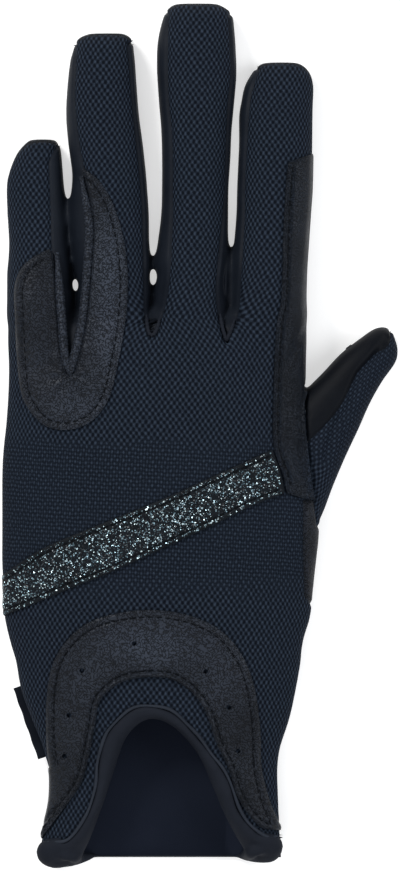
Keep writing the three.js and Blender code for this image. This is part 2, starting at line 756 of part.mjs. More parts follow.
const ventHole = ({ x, down }) => {
  const centre = onHand(x, down);
  const hole = new THREE.Shape().absarc(centre.x, centre.y, ventDiameter / 2, 0, 2 * Math.PI);
  return prismOf(hole.getPoints(ventSides / 2));
};
const wristPanel = vents.reduce(
  (panel, vent) => panel.subtract(ventHole(vent)),
  patchOf([...smooth(onHandRows(wristOutside), 24), ...smooth(onHandRows(wristInside), 20)]),
);

// Thumb: two panels, leather towards the fingers and mesh on the outer side, butted to the hand.
const thumbWalls = thumbOutside
  .subtract(thumbInside)
  .subtract(bodyOf(-seamGap))
  .subtract(stripRoom);
const thumbSeam = [
  { back: -0.03, side: 0 },
  { back: 0.15, side: -0.06 },
  { back: 0.21, side: -0.13 },
  { back: 0.315, side: -0.13 },
  { back: 0.45, side: -0.01 },
  { back: 0.59, side: 0.1 },
  { back: 0.71, side: 0.17 },
  { back: 1.1, side: 0.2 },
];
const thumbOuterHalf = [
  ...thumbSeam.map(({ back: seamBack, side }) => thumbPoint(seamBack, thumbWidth * side)),
  thumbPoint(1.1, thumbWidth * 3),
  thumbPoint(-0.2, thumbWidth * 3),
  thumbPoint(-0.2, 0),
];
const thumbBack = thumbWalls.intersect(prismOf(thumbOuterHalf));
const thumbFront = thumbWalls.subtract(prismOf(grown(thumbOuterHalf, seamGap)));

// Tab: a folded ribbon that stands out of the side seam near the wrist.
const tabTopShare = 0.694; // where it starts, as a share of the hand's length
const tabFootShare = tabTopShare + tabLength / handLength;
const tabStart = at(handLeft(tabTopShare), -handLength * tabTopShare);
const tabAlong = at(handLeft(tabFootShare), -handLength * tabFootShare).sub(tabStart).normalize();
const tabOut = at(tabAlong.y, -tabAlong.x);
const tabCorner = (along, out) =>
  tabStart.clone().addScaledVector(tabAlong, along).addScaledVector(tabOut, out);
const tabOutline = [
  tabCorner(0, tabStandOut),
  tabCorner(0, -2 * wall),
  tabCorner(tabLength, -2 * wall),
  tabCorner(tabLength, tabStandOut),
];
const tabHigh = sideSeamHeight - seamGap;
const sideTab = prismOf(tabOutline, tabHigh - tabThickness, tabHigh).subtract(bodyOf(-seamGap));

// Finishes.
const finish = (color, roughness, metalness = 0) =>
  new THREE.MeshStandardMaterial({ color, roughness, metalness });
const meshKnit = finish("#1f2a3c", 0.85);
const leather = finish("#20262e", 0.55);
const stripCloth = finish("#14181d", 0.75);
const glitter = finish("#3a4650", 0.35, 0.5);
const softRoll = finish("#1e242c", 0.7);
const ribbon = finish("#0d1014", 0.8);

// Puts the largest body of a solid into the glove as a named mesh; crumbs left by a cut are dropped.
const glove = new THREE.Group();
function place(name, solid, material) {
  const body = solid.decompose().reduce((a, b) => (a.volume() > b.volume() ? a : b));
  const made = body.getMesh();
  const geometry = new THREE.BufferGeometry();
  geometry.setAttribute("position", new THREE.BufferAttribute(made.vertProperties, made.numProp));
  geometry.setIndex(new THREE.BufferAttribute(made.triVerts, 1));
  const mesh = new THREE.Mesh(geometry, material);
  mesh.name = name;
  glove.add(mesh);
}
place("back", back, meshKnit);
place("palm", palm, leather);
place("strip_little_ring", fingerStrip(little, ring), leather);
place("strip_ring_middle", fingerStrip(ring, middle), stripCloth);
place("strip_middle_index", fingerStrip(middle, index), stripCloth);
place("thumb_front", thumbFront, leather);
place("thumb_back", thumbBack, meshKnit);
place("rein_patch", reinPatch, leather);
place("index_strip", indexStrip, leather);
place("glitter_band", glitterBand, glitter);
place("wrist_panel", wristPanel, leather);
place("cuff_binding", bindingTube(0), softRoll);
place("side_tab", sideTab, ribbon);

// The part's frame has its origin under the middle of the glove, on the table.
const extent = new THREE.Box3().setFromObject(glove);
const underneath = extent.getCenter(new THREE.Vector3()).setZ(extent.min.z);
glove.position.sub(underneath);

export default new THREE.Group().add(glove);
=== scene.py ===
# %% [markdown]
# # A riding glove, laid flat
# This lesson dresses a plain model of a left-hand riding glove: a knitted mesh back, a leather palm, smooth
# strips between the fingers, leather patches where the reins run, a glitter band and a notched, bound cuff.
# The plain model gives the glove's outer size, and the photograph gives the lines of its seams. Lengths are
# millimetres until a mesh is made, and then metres.
# %% Start from the plain model
import math
import bpy
import numpy as np
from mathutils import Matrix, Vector
from mathutils.bvhtree import BVHTree
from mathutils.kdtree import KDTree


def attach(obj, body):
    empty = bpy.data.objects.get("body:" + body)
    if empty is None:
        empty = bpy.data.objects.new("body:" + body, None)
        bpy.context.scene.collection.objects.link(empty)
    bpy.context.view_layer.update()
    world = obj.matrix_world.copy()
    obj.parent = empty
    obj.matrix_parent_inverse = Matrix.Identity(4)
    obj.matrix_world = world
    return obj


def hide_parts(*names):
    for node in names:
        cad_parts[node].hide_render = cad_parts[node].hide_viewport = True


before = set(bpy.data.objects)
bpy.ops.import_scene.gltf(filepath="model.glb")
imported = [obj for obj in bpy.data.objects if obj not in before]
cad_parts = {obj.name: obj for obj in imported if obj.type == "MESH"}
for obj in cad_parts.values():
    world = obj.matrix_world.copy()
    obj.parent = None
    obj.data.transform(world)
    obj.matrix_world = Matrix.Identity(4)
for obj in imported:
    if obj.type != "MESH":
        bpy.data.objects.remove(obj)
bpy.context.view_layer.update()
MM = 0.001

# %% [markdown]
# ## Camera, floor and light
# The photograph looks straight down on the glove. A very long lens from far away keeps the fingers from
# leaning outwards, and it still lets other views step back to see the whole glove. The picture is 400 by 871
# dots and 230.5 mm high, so the camera's distance follows from its lens.
# %% Camera
PICTURE_HEIGHT = 230.5
PICTURE_MIDDLE = 0.25  # place along the glove that the picture's middle shows
SHARP_HEIGHT = 9  # height above the floor at which the picture has that size
LENS, SENSOR = 400, 36


def set_out(name, data):
    """A new object that stands in the scene."""
    made = bpy.data.objects.new(name, data)
    bpy.context.scene.collection.objects.link(made)
    return made


sight = bpy.data.cameras.new("sight")
sight.lens, sight.sensor_width, sight.clip_end = LENS, SENSOR, 20
camera = set_out("camera", sight)
distance = PICTURE_HEIGHT * MM * LENS / SENSOR
camera.location = (0, PICTURE_MIDDLE * MM, distance + SHARP_HEIGHT * MM)
bpy.context.scene.camera = camera
print("camera", round(distance, 3), "m above the glove")


# %% Soft light from three sides, and a pale sky
def lamp(name, place, size, power, tint):
    light = bpy.data.lights.new(name, "AREA")
    light.shape, light.size, light.energy, light.color = "DISK", size, power, tint
    made = set_out(name, light)
    made.location = place
    made.rotation_euler = (-Vector(place)).to_track_quat("-Z", "Y").to_euler()
    made.visible_camera = False


lamp("light_upper_left", (-0.55, 0.65, 0.75), 0.35, 10, (1, 0.99, 0.97))
lamp("light_right", (0.8, 0.1, 0.7), 0.6, 5, (0.96, 0.98, 1))
lamp("light_lower", (-0.1, -0.8, 0.8), 0.6, 4.2, (0.97, 0.98, 1))
sky = bpy.data.worlds.new("sky")
bpy.context.scene.world = sky
sky.use_nodes = True
sky.node_tree.nodes["Background"].inputs["Color"].default_value = (0.95, 0.97, 1, 1)
sky.node_tree.nodes["Background"].inputs["Strength"].default_value = 0.42
print("lights ready")

# %% [markdown]
# ## Tools for finishes
# Each finish is a small tree of shader nodes. A short helper adds a node, sets its numbers and joins its
# inputs, so that each finish below reads as a list of what the cloth or leather shows.
# %% A helper for shader nodes
def node_in(tree, kind, inputs, settings):
    """A new node in a tree: its settings are made first, then each input gets its number or is joined."""
    node = tree.nodes.new(kind)
    for key, value in settings.items():
        setattr(node, key, value)
    for key, value in (inputs or {}).items():
        if isinstance(value, bpy.types.NodeSocket):
            tree.links.new(value, node.inputs[key])
        else:
            node.inputs[key].default_value = value
    return node


class Finish:
    """A procedural material under construction: add() puts in a node, and shader is its last node."""

    def __init__(self, name, **numbers):
        self.material = bpy.data.materials.new(name)
        self.material.use_nodes = True
        self.tree = self.material.node_tree
        self.shader = self.tree.nodes["Principled BSDF"]
        for socket, value in numbers.items():
            self.shader.inputs[socket.replace("_", " ")].default_value = value

    def add(self, kind, inputs=None, **settings):
        return node_in(self.tree, "ShaderNode" + kind, inputs, settings)

    def math(self, operation, *values, clamp=False):
        numbers = dict(enumerate(values))
        return self.add("Math", numbers, operation=operation, use_clamp=clamp).outputs[0]

    def times(self, first, second, clamp=False):
        return self.math("MULTIPLY", first, second, clamp=clamp)

    def plus(self, first, second):
        return self.math("ADD", first, second)

    def noise(self, where, scale, detail=2.0, rough=0.5):
        numbers = {"Vector": where, "Scale": scale, "Detail": detail, "Roughness": rough}
        return self.add("TexNoise", numbers).outputs["Fac"]

    def ramp(self, value, *stops):
        made = self.add("ValToRGB", {"Fac": value})
        band = made.color_ramp
        while len(band.elements) < len(stops):
            band.elements.new(0.5)
        for element, (place, colour) in zip(band.elements, stops):
            element.position, element.color = place, (*colour, 1)
        return made.outputs["Color"]

    def spread(self, value, low, high, to_low, to_high):
        numbers = {"Value": value, "From Min": low, "From Max": high, "To Min": to_low, "To Max": to_high}
        return self.add("MapRange", numbers).outputs["Result"]

    def mix(self, share, first, second):
        colours = (v if isinstance(v, bpy.types.NodeSocket) else (*v, 1) for v in (first, second))
        inputs = dict(zip((0, 6, 7), (share, *colours)))
        return self.add("Mix", inputs, data_type="RGBA").outputs[2]

    def bump(self, height, distance, strength):
        numbers = {"Height": height, "Distance": distance * MM, "Strength": strength}
        return self.add("Bump", numbers).outputs["Normal"]

    def done(self, colour, rough=None, normal=None):
        for socket, value in (("Base Color", colour), ("Roughness", rough), ("Normal", normal)):
            if value is not None:
                self.tree.links.new(value, self.shader.inputs[socket])
        return self.material


print("finish helper ready")

# %% [markdown]
# ## Floor
# A plain pale sheet with a faint unevenness. It glows a little, like a light table, so that the narrow gaps
# between the fingers stay bright and the shadows stay soft.
# %% Floor
FLOOR_REACH = 3.0  # metres to each side
FLOOR_DROP = 0.2  # the sheet lies this far below height zero, on which the glove rests

look = Finish("pale_floor", Roughness=0.9, Emission_Strength=0.56)
look.shader.inputs["Emission Color"].default_value = (1, 1, 1, 1)
shade = look.noise(look.add("TexCoord").outputs["Object"], 9)
look.done(look.ramp(shade, (0.3, (0.61,) * 3), (0.7, (0.63,) * 3)))
sheet = bpy.data.meshes.new("floor")
corners = [(x * FLOOR_REACH, y * FLOOR_REACH, 0) for x, y in ((-1, -1), (1, -1), (1, 1), (-1, 1))]
sheet.from_pydata(corners, [], [(0, 1, 2, 3)])
sheet.materials.append(look.material)
floor = set_out("floor", sheet)
floor.location.z = -FLOOR_DROP * MM
print("floor ready")

# %% [markdown]
# ## Curves and sections
# A glove is cut from flat pieces, but once it is worn in, each finger is a soft round tube pressed flat where
# it rests. Each tube is described by rows: a place along it, its left and right edge, seen from above. A
# smooth path through the rows gives the edges between them.
# %% Smooth paths
def through(points, steps=6, closed=False):
    """A smooth path through a few points, with steps between each two."""
    p = np.array(points, float)
    ring = np.vstack([p[-1:], p, p[:2]]) if closed else np.vstack([2 * p[0] - p[1], p, 2 * p[-1] - p[-2]])
    t = np.linspace(0, 1, steps, endpoint=False)[:, None]
    spans = [
        0.5 * (2 * b + (c - a) * t + (2 * a - 5 * b + 4 * c - d) * t**2 + (3 * b - a - 3 * c + d) * t**3)
        for a, b, c, d in zip(ring, ring[1:], ring[2:], ring[3:])
    ]
    return np.vstack(spans if closed else [*spans, p[-1:]])


def evenly(path, step=None, count=None):
    """The same path with its points evenly spaced: a given step apart, or as many as asked."""
    path = np.asarray(path, float)
    along = np.r_[0, np.cumsum(np.linalg.norm(np.diff(path, axis=0), axis=1))]
    places = np.linspace(0, along[-1], count or max(2, round(along[-1] / step) + 1))
    return np.stack([np.interp(places, along, path[:, k]) for k in range(path.shape[1])], 1)


def unit(vectors):
    """The same directions, each with length 1."""
    return vectors / np.maximum(np.linalg.norm(vectors, axis=-1, keepdims=True), 1e-12)


def beside(path, distance):
    """The path moved sideways: to its left where the distance is positive."""
    run = unit(np.gradient(path, axis=0))
    return path + distance * np.stack([-run[:, 1], run[:, 0]], 1)


def smoothstep(value, low, high):
    """0 below low, 1 above high, and a soft rise between them."""
    share = np.clip((value - low) / (high - low), 0, 1)
    return share * share * (3 - 2 * share)


def bell(distance, wide):
    """1 in the middle, about a third at the given width, and soon nothing."""
    return np.exp(-((distance / wide) ** 2))


def rolling(values, reach):
    """The mean of each value and its neighbours up to reach places away."""
    return np.convolve(np.pad(values, reach, "edge"), np.ones(2 * reach + 1) / (2 * reach + 1), "valid")


# %% Cross-sections and tubes
ROUNDNESS = 2.5  # 2 is an ellipse, more is squarer
BELLY = 0.45  # height of the widest point, as a share of the thickness
PRESS = 0.8  # how far the underside is pressed flat


def section(left, right, thick, sides):
    """A rounded oblong standing on the floor: pairs of place across and height."""
    turn = np.linspace(0, 2 * math.pi, sides, endpoint=False)
    power = lambda v: np.sign(v) * np.abs(v) ** (2 / ROUNDNESS)
    across = (left + right) / 2 + (right - left) / 2 * power(np.cos(turn))
    rise = power(np.sin(turn))
    belly = thick * BELLY
    height = belly + np.where(rise > 0, (thick - belly) * rise, (belly + PRESS) * rise)
    return across, np.maximum(height, 0)


def loft(rings):
    """Corners and faces of a closed tube over rings of points, one ring after the other."""
    sides = len(rings[0])
    corners = np.vstack([*rings, rings[0].mean(0)[None], rings[-1].mean(0)[None]])
    faces = []
    for i in range(len(rings) - 1):
        for j in range(sides):
            k = (j + 1) % sides
            faces.append((i * sides + j, i * sides + k, (i + 1) * sides + k, (i + 1) * sides + j))
    first, last = len(corners) - 2, len(corners) - 1
    top = (len(rings) - 1) * sides
    for j in range(sides):
        k = (j + 1) % sides
        faces += [(first, k, j), (last, top + j, top + k)]
    return corners, faces


# %% [markdown]
# ## The tables of the glove's tubes
# Rows are read off the photograph at 0.265 mm a dot: place along the glove, left edge, right edge. The
# thickness can't be seen from above, so it follows the plain model: full at the root, thinner near the tip.
# %% Rows of the four fingers and the hand
LITTLE = [(78.8, -44.2, -39.4), (78.5, -45.5, -38.1), (77.4, -46.6, -37.2), (75.8, -48.0, -36.8),
          (73.7, -49.2, -36.6), (70.0, -50.6, -36.3), (66.3, -51.3, -36.0), (58.9, -51.1, -35.2),
          (51.5, -50.6, -34.8), (46.5, -50.8, -34.3), (43.5, -51.1, -34.0), (40, -51.1, -33.8),
          (36.7, -51.1, -33.1), (29.2, -50.8, -33.3), (20, -47, -36)]
RING = [(106.9, -29.1, -20.4), (106.5, -30.4, -19.3), (105.5, -32.3, -18.1), (103.9, -33.3, -17.6),
        (101.8, -33.7, -17.5), (99.6, -34.4, -17.2), (92.2, -35.2, -16.7), (84.8, -35.5, -16.1),
        (77.4, -34.9, -15.1), (70.0, -33.9, -14.3), (66.3, -34.0, -14.0), (58.9, -34.7, -13.5),
        (51.5, -34.1, -13.4), (45.8, -33.3, -12.9), (42.5, -32.8, -13.3), (39.6, -32.1, -13.0),
        (36.7, -32.8, -12.7), (29.2, -33.3, -12.4)]
MIDDLE = [(114.8, -5.8, 4.0), (114.5, -7.1, 5.3), (113.4, -8.5, 7.1), (112.4, -9.3, 8.3), (110.8, -9.8, 8.9),
          (109.2, -10.3, 9.0), (106.0, -11.0, 9.3), (102.8, -11.4, 9.5), (95.9, -11.4, 9.7),
          (88.5, -10.9, 9.1), (81.1, -10.3, 8.4), (73.7, -10.1, 8.1), (66.3, -10.1, 7.6), (58.9, -10.3, 7.5),
          (51.5, -11.2, 7.5), (45.8, -12.0, 7.9), (42.5, -11.4, 8.1), (36.7, -12.2, 8.2), (29.2, -12.2, 8.2)]
INDEX = [(99.2, 18.0, 24.9), (98.9, 16.4, 26.5), (97.8, 14.8, 28.1), (95.9, 13.5, 29.4), (94.1, 12.4, 29.9),
         (92.2, 11.6, 30.2), (88.5, 10.9, 30.0), (84.8, 10.3, 29.9), (77.4, 10.3, 29.8), (66.3, 9.8, 29.6),
         (58.9, 9.6, 29.1), (51.5, 9.0, 28.6), (44.1, 8.2, 28.1), (36.7, 8.2, 27.9), (29.2, 8.2, 27.8),
         (20, 11, 24.5)]
HAND = [(38.4, -47.1, 24.3), (36.2, -49.2, 26.2), (34.1, -50.4, 27.4), (31.5, -50.7, 27.8),
        (25.5, -50.9, 27.9), (18.1, -50.6, 27.7), (10.7, -50.8, 27.7), (3.3, -51.3, 28.2), (-4.1, -52.1, 29),
        (-11.5, -52.4, 29.9), (-18.9, -52.4, 31.5), (-26.3, -52.4, 31.5), (-33.7, -52.4, 30.7),
        (-41.2, -51.9, 29.9), (-44.9, -52.0, 29.6), (-48.6, -51.6, 29.0), (-52.3, -50.8, 27.8),
        (-56.0, -49.8, 27.0), (-59.7, -48.7, 26.7), (-67.1, -47.4, 25.4), (-74.5, -44.7, 23.8),
        (-81.9, -41.8, 21.4), (-85.6, -40.8, 20.8), (-89.3, -39.8, 20.6), (-96.7, -40.0, 20.9),
        (-104.1, -41.6, 21.2), (-111.6, -42.6, 21.6), (-117.4, -42.6, 21.4)]
FINGER_THICKNESS = {"little": 13.5, "ring": 15, "middle": 15.5, "index": 15}
TIP_TAPER = [(0, 0.36), (1.2, 0.56), (3, 0.7), (6, 0.82), (12, 0.91), (25, 0.97), (40, 1), (90, 0.98)]
HAND_THICKNESS = [(-116, 13.6), (-107, 13.7), (-91, 14.1), (-82, 14.9), (-72, 16.2), (-60, 17.6), (-48, 18.9),
                  (-33.5, 20), (-23, 20.4), (-17, 20.6), (-1, 21), (12, 20.8), (22, 19.7), (29.2, 18.3),
                  (33.1, 14.5), (35.9, 8.4), (38.4, 3.4)]
ROOT_THICKNESS = 17.8  # the fingers swell to this at their roots
FINGER_SIDES, HAND_SIDES = 48, 96  # corners round a tube
VOXEL, CALM_ROUNDS = 0.6, 8  # fineness of the common skin, and how often it is evened out
FLOOR_GAP = 0.02  # the least height of the outer skin
# The thumb: distance back from its tip, its edges each side of its own axis, and its thickness.
THUMB = [(0, -2.7, -0.2, 5.0), (1.1, -4.0, 1.0, 7.8), (2.8, -5.1, 3.2, 9.8), (6.1, -6.3, 4.9, 11.8),
         (12.5, -8.3, 4.9, 13.3), (19.4, -9.3, 5.6, 14), (26.4, -10.5, 7.0, 14.4), (34.0, -11.3, 8.3, 14.7),
         (42.5, -11, 10.1, 15), (50.9, -9.8, 12.2, 14.7), (56.6, -8.5, 12.4, 14)]
THUMB_TIP = np.array([51.4, 27.6])
THUMB_ANGLE = math.radians(35)


# %% The tubes, joined and skinned anew as one soft form
def tube_rings(rows, thickness_at, sides):
    rings = []
    for y, left, right in through(rows, 5):
        across, height = section(left, right, thickness_at(y), sides)
        rings.append(np.stack([across, np.full(sides, y), height], 1))
    return rings


def finger_thickness(name, rows):
    places, shares = zip(*TIP_TAPER)
    full = FINGER_THICKNESS[name]
    swell = lambda y: (ROOT_THICKNESS - full) * smoothstep(-y, -62, -33)
    return lambda y: full * np.interp(rows[0][0] - y, places, shares) + swell(y)


hand_thickness = lambda y: np.interp(y, *zip(*HAND_THICKNESS))
FINGERS = {"little": LITTLE, "ring": RING, "middle": MIDDLE, "index": INDEX}
tubes = [loft(tube_rings(rows, finger_thickness(name, rows), FINGER_SIDES)) for name, rows in FINGERS.items()]
tubes.append(loft(tube_rings(HAND, hand_thickness, HAND_SIDES)))

thumb_along = np.array([math.sin(THUMB_ANGLE), math.cos(THUMB_ANGLE)])
thumb_across = np.array([math.cos(THUMB_ANGLE), -math.sin(THUMB_ANGLE)])
thumb_rings = []
for back, left, right, thick in through(THUMB, 5):
    across, height = section(left, right, thick, FINGER_SIDES)
    plan = THUMB_TIP - thumb_along * back + across[:, None] * thumb_across
    thumb_rings.append(np.column_stack([plan, height]))
tubes.append(loft(thumb_rings))


def modified(corners, faces, kind, **settings):
    """The mesh that a modifier makes of corners and faces, again as corners and triangles."""
    mesh = bpy.data.meshes.new("form")
    mesh.from_pydata(corners.tolist(), [], faces)
    form = set_out("form", mesh)
    step = form.modifiers.new("step", kind)
    for key, value in settings.items():
        setattr(step, key, value)
    made = bpy.data.meshes.new_from_object(form.evaluated_get(bpy.context.evaluated_depsgraph_get()))
    made.calc_loop_triangles()
    corners = np.zeros(len(made.vertices) * 3)
    made.vertices.foreach_get("co", corners)
    triangles = np.zeros(len(made.loop_triangles) * 3, int)
    made.loop_triangles.foreach_get("vertices", triangles)
    bpy.data.objects.remove(form)
    bpy.data.meshes.remove(made)
    return corners.reshape(-1, 3), triangles.reshape(-1, 3)


def skinned(parts, voxel):
    """One closed skin round overlapping closed meshes, as corners and triangles."""
    faces, start = [], 0
    for part_corners, part_faces in parts:
        faces += [tuple(start + c for c in f) for f in part_faces]
        start += len(part_corners)
    return modified(np.vstack([c for c, _ in parts]), faces, "REMESH", mode="VOXEL", voxel_size=voxel)


def calmed(corners, triangles, rounds, strength=0.5):
    """Evens a skin out: each corner moves towards the middle of its neighbours."""
    edges = np.vstack([triangles[:, [0, 1]], triangles[:, [1, 2]], triangles[:, [2, 0]]])
    count = np.bincount(edges.ravel(), minlength=len(corners))[:, None]
    for _ in range(rounds):
        total = np.zeros_like(corners)
        for k in range(3):
            total[:, k] = np.bincount(edges[:, 0], corners[edges[:, 1], k], len(corners))
            total[:, k] += np.bincount(edges[:, 1], corners[edges[:, 0], k], len(corners))
        corners = corners + strength * (total / count - corners)
    return corners


def off_floor(points):
    """The same corners, with none of them lower than the least height."""
    points[:, 2] = np.maximum(points[:, 2], FLOOR_GAP)
    return points


form_points, form_faces = skinned(tubes, VOXEL)
form_points = off_floor(calmed(form_points, form_faces, CALM_ROUNDS))
print("soft form:", len(form_faces), "triangles,", (np.ptp(form_points, axis=0)).round(1), "mm")

# %% [markdown]
# ## Cutting a skin along a line
# A seam has to run exactly where the pattern cutter drew it, and not along the zigzag of the mesh. So the
# mesh is split where a signed distance to the line passes zero. The same helper that splits edges there also
# makes a mesh finer near a seam.
# %% Splitting edges
ON_LINE = 0.04  # a corner this near to a cut is left where it is


def split(points, faces, choose):
    """Splits the edges that choose(a, b) marks, each at its given share, and the triangles round them."""
    keys = np.sort(faces[:, [0, 1, 1, 2, 2, 0]].reshape(-1, 3, 2), 2).reshape(-1, 2).astype(np.int64)
    unique, back = np.unique(keys[:, 0] * len(points) + keys[:, 1], return_inverse=True)
    a, b = unique // len(points), unique % len(points)
    marked, share = choose(a, b)
    number = np.full(len(unique), -1)
    number[marked] = len(points) + np.arange(marked.sum())
    share = share[marked][:, None]
    points = np.vstack([points, points[a[marked]] * (1 - share) + points[b[marked]] * share])
    middle = number[back].reshape(-1, 3)
    count = (middle >= 0).sum(1)
    made = [faces[count == 0]]
    for many in (1, 2):
        rows = np.flatnonzero(count == many)
        turn = np.argmax(middle[rows] >= 0, 1) if many == 1 else (np.argmax(middle[rows] < 0, 1) + 1) % 3
        order = (turn[:, None] + np.arange(3)) % 3
        f, m = np.take_along_axis(faces[rows], order, 1), np.take_along_axis(middle[rows], order, 1)
        if many == 1:
            made += [np.stack([f[:, 0], m[:, 0], f[:, 2]], 1), np.stack([m[:, 0], f[:, 1], f[:, 2]], 1)]
        else:
            made += [np.stack([m[:, 0], f[:, 1], m[:, 1]], 1), np.stack([f[:, 0], m[:, 0], m[:, 1]], 1),
                     np.stack([f[:, 0], m[:, 1], f[:, 2]], 1)]
    f, m = faces[count == 3], middle[count == 3]
    made += [np.stack([f[:, 0], m[:, 0], m[:, 2]], 1), np.stack([m[:, 0], f[:, 1], m[:, 1]], 1),
             np.stack([m[:, 2], m[:, 1], f[:, 2]], 1), m]
    return points, np.vstack(made), (a[marked], b[marked], share)


def cut(points, faces, field):
    """Splits the skin where field(points) is zero. A corner close to that line counts as lying on it."""
    value = field(points)
    value = np.where(np.abs(value) < ON_LINE, 0, value)

    def choose(a, b):
        crossing = value[a] * value[b] < 0
        gap = np.where(crossing, value[a] - value[b], 1)
        return crossing, value[a] / gap

    points, faces, _ = split(points, faces, choose)
    return points, faces


def finer(points, faces, longest, where=None):
    """Splits long edges in half, everywhere or where a test of the middle point says so."""
    def choose(a, b):
        long = np.linalg.norm(points[a, :3] - points[b, :3], axis=1) > longest
        if where is not None:
            long &= where((points[a] + points[b]) / 2)
        return long, np.full(len(a), 0.5)

    points, faces, _ = split(points, faces, choose)
    return points, faces


# %% Distances to lines and outlines, seen from above
def to_line(points, line):
    """Distance from each point to a line of straight pieces."""
    line = np.asarray(line, float)
    best = np.full(len(points), 1e9)
    for a, b in zip(line[:-1], line[1:]):
        run = b - a
        share = np.clip(((points[:, :2] - a) @ run) / max(run @ run, 1e-9), 0, 1)
        best = np.minimum(best, np.hypot(*(points[:, :2] - a - share[:, None] * run).T))
    return best


def inside(points, outline):
    """Signed distance to a closed outline: positive inside."""
    outline = np.asarray(outline, float)
    closed = np.vstack([outline, outline[:1]])
    x, y = points[:, 0], points[:, 1]
    crossings = np.zeros(len(points), bool)
    for (ax, ay), (bx, by) in zip(closed[:-1], closed[1:]):
        spans = (ay > y) != (by > y)
        if ay != by:
            crossings ^= spans & (x < (bx - ax) * (y - ay) / (by - ay) + ax)
    return np.where(crossings, 1, -1) * to_line(points, closed)


def normals_of(points, faces):
    a, b, c = points[faces[:, 0]], points[faces[:, 1]], points[faces[:, 2]]
    flat = np.cross(b - a, c - a)
    total = np.zeros_like(points)
    for k in range(3):
        for axis in range(3):
            total[:, axis] += np.bincount(faces[:, k], flat[:, axis], len(points))
    return unit(total)


def only(points, faces, keep):
    """The kept faces with just their own corners, and the old number of each corner."""
    faces = faces[keep]
    used, renamed = np.unique(faces, return_inverse=True)
    return points[used], renamed.reshape(-1, 3), used


print("cutting helpers ready")

# %% [markdown]
# ## Seam lines
# These are the lines that the pattern cutter would draw: the two seams of each finger's back panel, which
# meet at the bottom of each slit, the line where the thumb is set in, and the notch in the cuff.
# %% Seams of the finger panels
LITTLE_RIGHT = [(-37.8, 76.9), (-39.7, 73.2), (-39.7, 69.2), (-39.4, 61.3), (-39.2, 52.3), (-38.6, 44.3),
                (-37.8, 33.0), (-36.8, 21.6), (-35.5, 17.1)]
RING_LEFT = [(-33.1, 103.4), (-33.1, 97), (-33.3, 89.1), (-32.6, 81.1), (-31.8, 75.8), (-30.7, 70.8),
             (-29.1, 62.6), (-28.1, 55.4), (-28.6, 44.3), (-29.6, 33), (-31.5, 22.9), (-33.3, 16.8)]
RING_RIGHT = [(-19.1, 103.9), (-18.3, 97.0), (-17.7, 89.1), (-16.9, 81.1), (-16.1, 73.7), (-15.4, 66.3),
              (-14.9, 58.9), (-14.8, 51.5), (-14.6, 44.1), (-14.6, 36.1), (-14.6, 31.0), (-14.1, 27.6),
              (-13.2, 26.2)]
MIDDLE_LEFT = [(-8.5, 111.8), (-8.7, 104.9), (-8.7, 95.9), (-8.5, 88.5), (-7.7, 81.1), (-7.4, 73.7),
               (-7.4, 66.3), (-7.4, 58.9), (-7.6, 51.5), (-7.8, 46.2), (-8.5, 38.8), (-9.8, 32.4),
               (-10.9, 28.2), (-12.2, 26.2)]
MIDDLE_RIGHT = [(7.7, 111.3), (8.2, 104.9), (8.5, 95.9), (7.7, 88.5), (7.4, 81.1), (7.1, 73.7), (6.9, 66.3),
                (6.4, 58.9), (5.4, 50.0), (4.6, 43.0), (4.3, 38.5), (4.7, 33.5), (5.4, 28.8), (6.5, 25.2)]
INDEX_LEFT = [(15.4, 97.0), (13.8, 92.2), (13.0, 88.5), (12.4, 81.1), (11.9, 73.7), (11.6, 66.3),
              (11.6, 58.9), (11.2, 51.5), (10.9, 46.2), (10.4, 38.8), (10.0, 33.0), (9.0, 28.9), (7.4, 25.1)]
THUMB_ROOT = [(27.5, 13.6), (28.1, 0.4), (29.4, -9.9), (30.2, -16.5), (31.2, -23.4)]
THUMB_SEAM = [(50.6, 28.4), (50.7, 25.5), (49.2, 23.4), (46.6, 22.1), (44.5, 20), (41.8, 17.1), (40, 13.6),
              (38.4, 10.2), (36.3, 6.7), (33.3, 3.3), (29.4, -0.6)]
SIDE_SEAM = 6.0  # height of the seam between back and palm
STRIP_FOOT = 3.0  # height of the seam between a strip and the palm

smooth_seams = {name: through(line, 4) for name, line in {
    "little_right": LITTLE_RIGHT, "ring_left": RING_LEFT, "ring_right": RING_RIGHT,
    "middle_left": MIDDLE_LEFT, "middle_right": MIDDLE_RIGHT, "index_left": INDEX_LEFT}.items()}
up, down = (lambda name: smooth_seams[name][::-1]), (lambda name: smooth_seams[name])
BACK_PANEL = np.vstack([
    [(-65, -130), (-65, 95), (-37.2, 95), (-37.0, 79)], down("little_right"), up("ring_left"),
    [(-34.5, 105), (-34, 125), (-17.6, 125), (-17.8, 106)], down("ring_right"), up("middle_left"),
    [(-9.6, 113.5), (-9.4, 125), (8.8, 125), (8.5, 113)], down("middle_right"), up("index_left"),
    [(14.6, 98.8), (14.5, 125), (45, 125), (45, 14.5)], THUMB_ROOT[:4],
    [(27.4, -16.8), (27.4, -30.3), (27.9, -42.2), (38.5, -55.5), (38.5, -130)]])
THUMB_REGION = [(27.5, 13.6), (28.3, 17), (31, 26), (40, 36), (62, 40), (62, -33), (34, -27),
                *THUMB_ROOT[::-1]]
STRIP_REGIONS = {
    "strip_little_ring": [(-43.9, 15), (-24.9, 15), (-24.9, 104), (-35.8, 104), (-35.8, 77.6), (-43.9, 77.6)],
    "strip_ring_middle": [(-24.9, 15), (-1, 15), (-1, 112.4), (-14.5, 112.4), (-14.5, 104.4), (-24.9, 104.4)],
    "strip_middle_index": [(-1, 15), (19, 15), (19, 97.6), (9.9, 97.6), (9.9, 112), (-1, 112)],
}

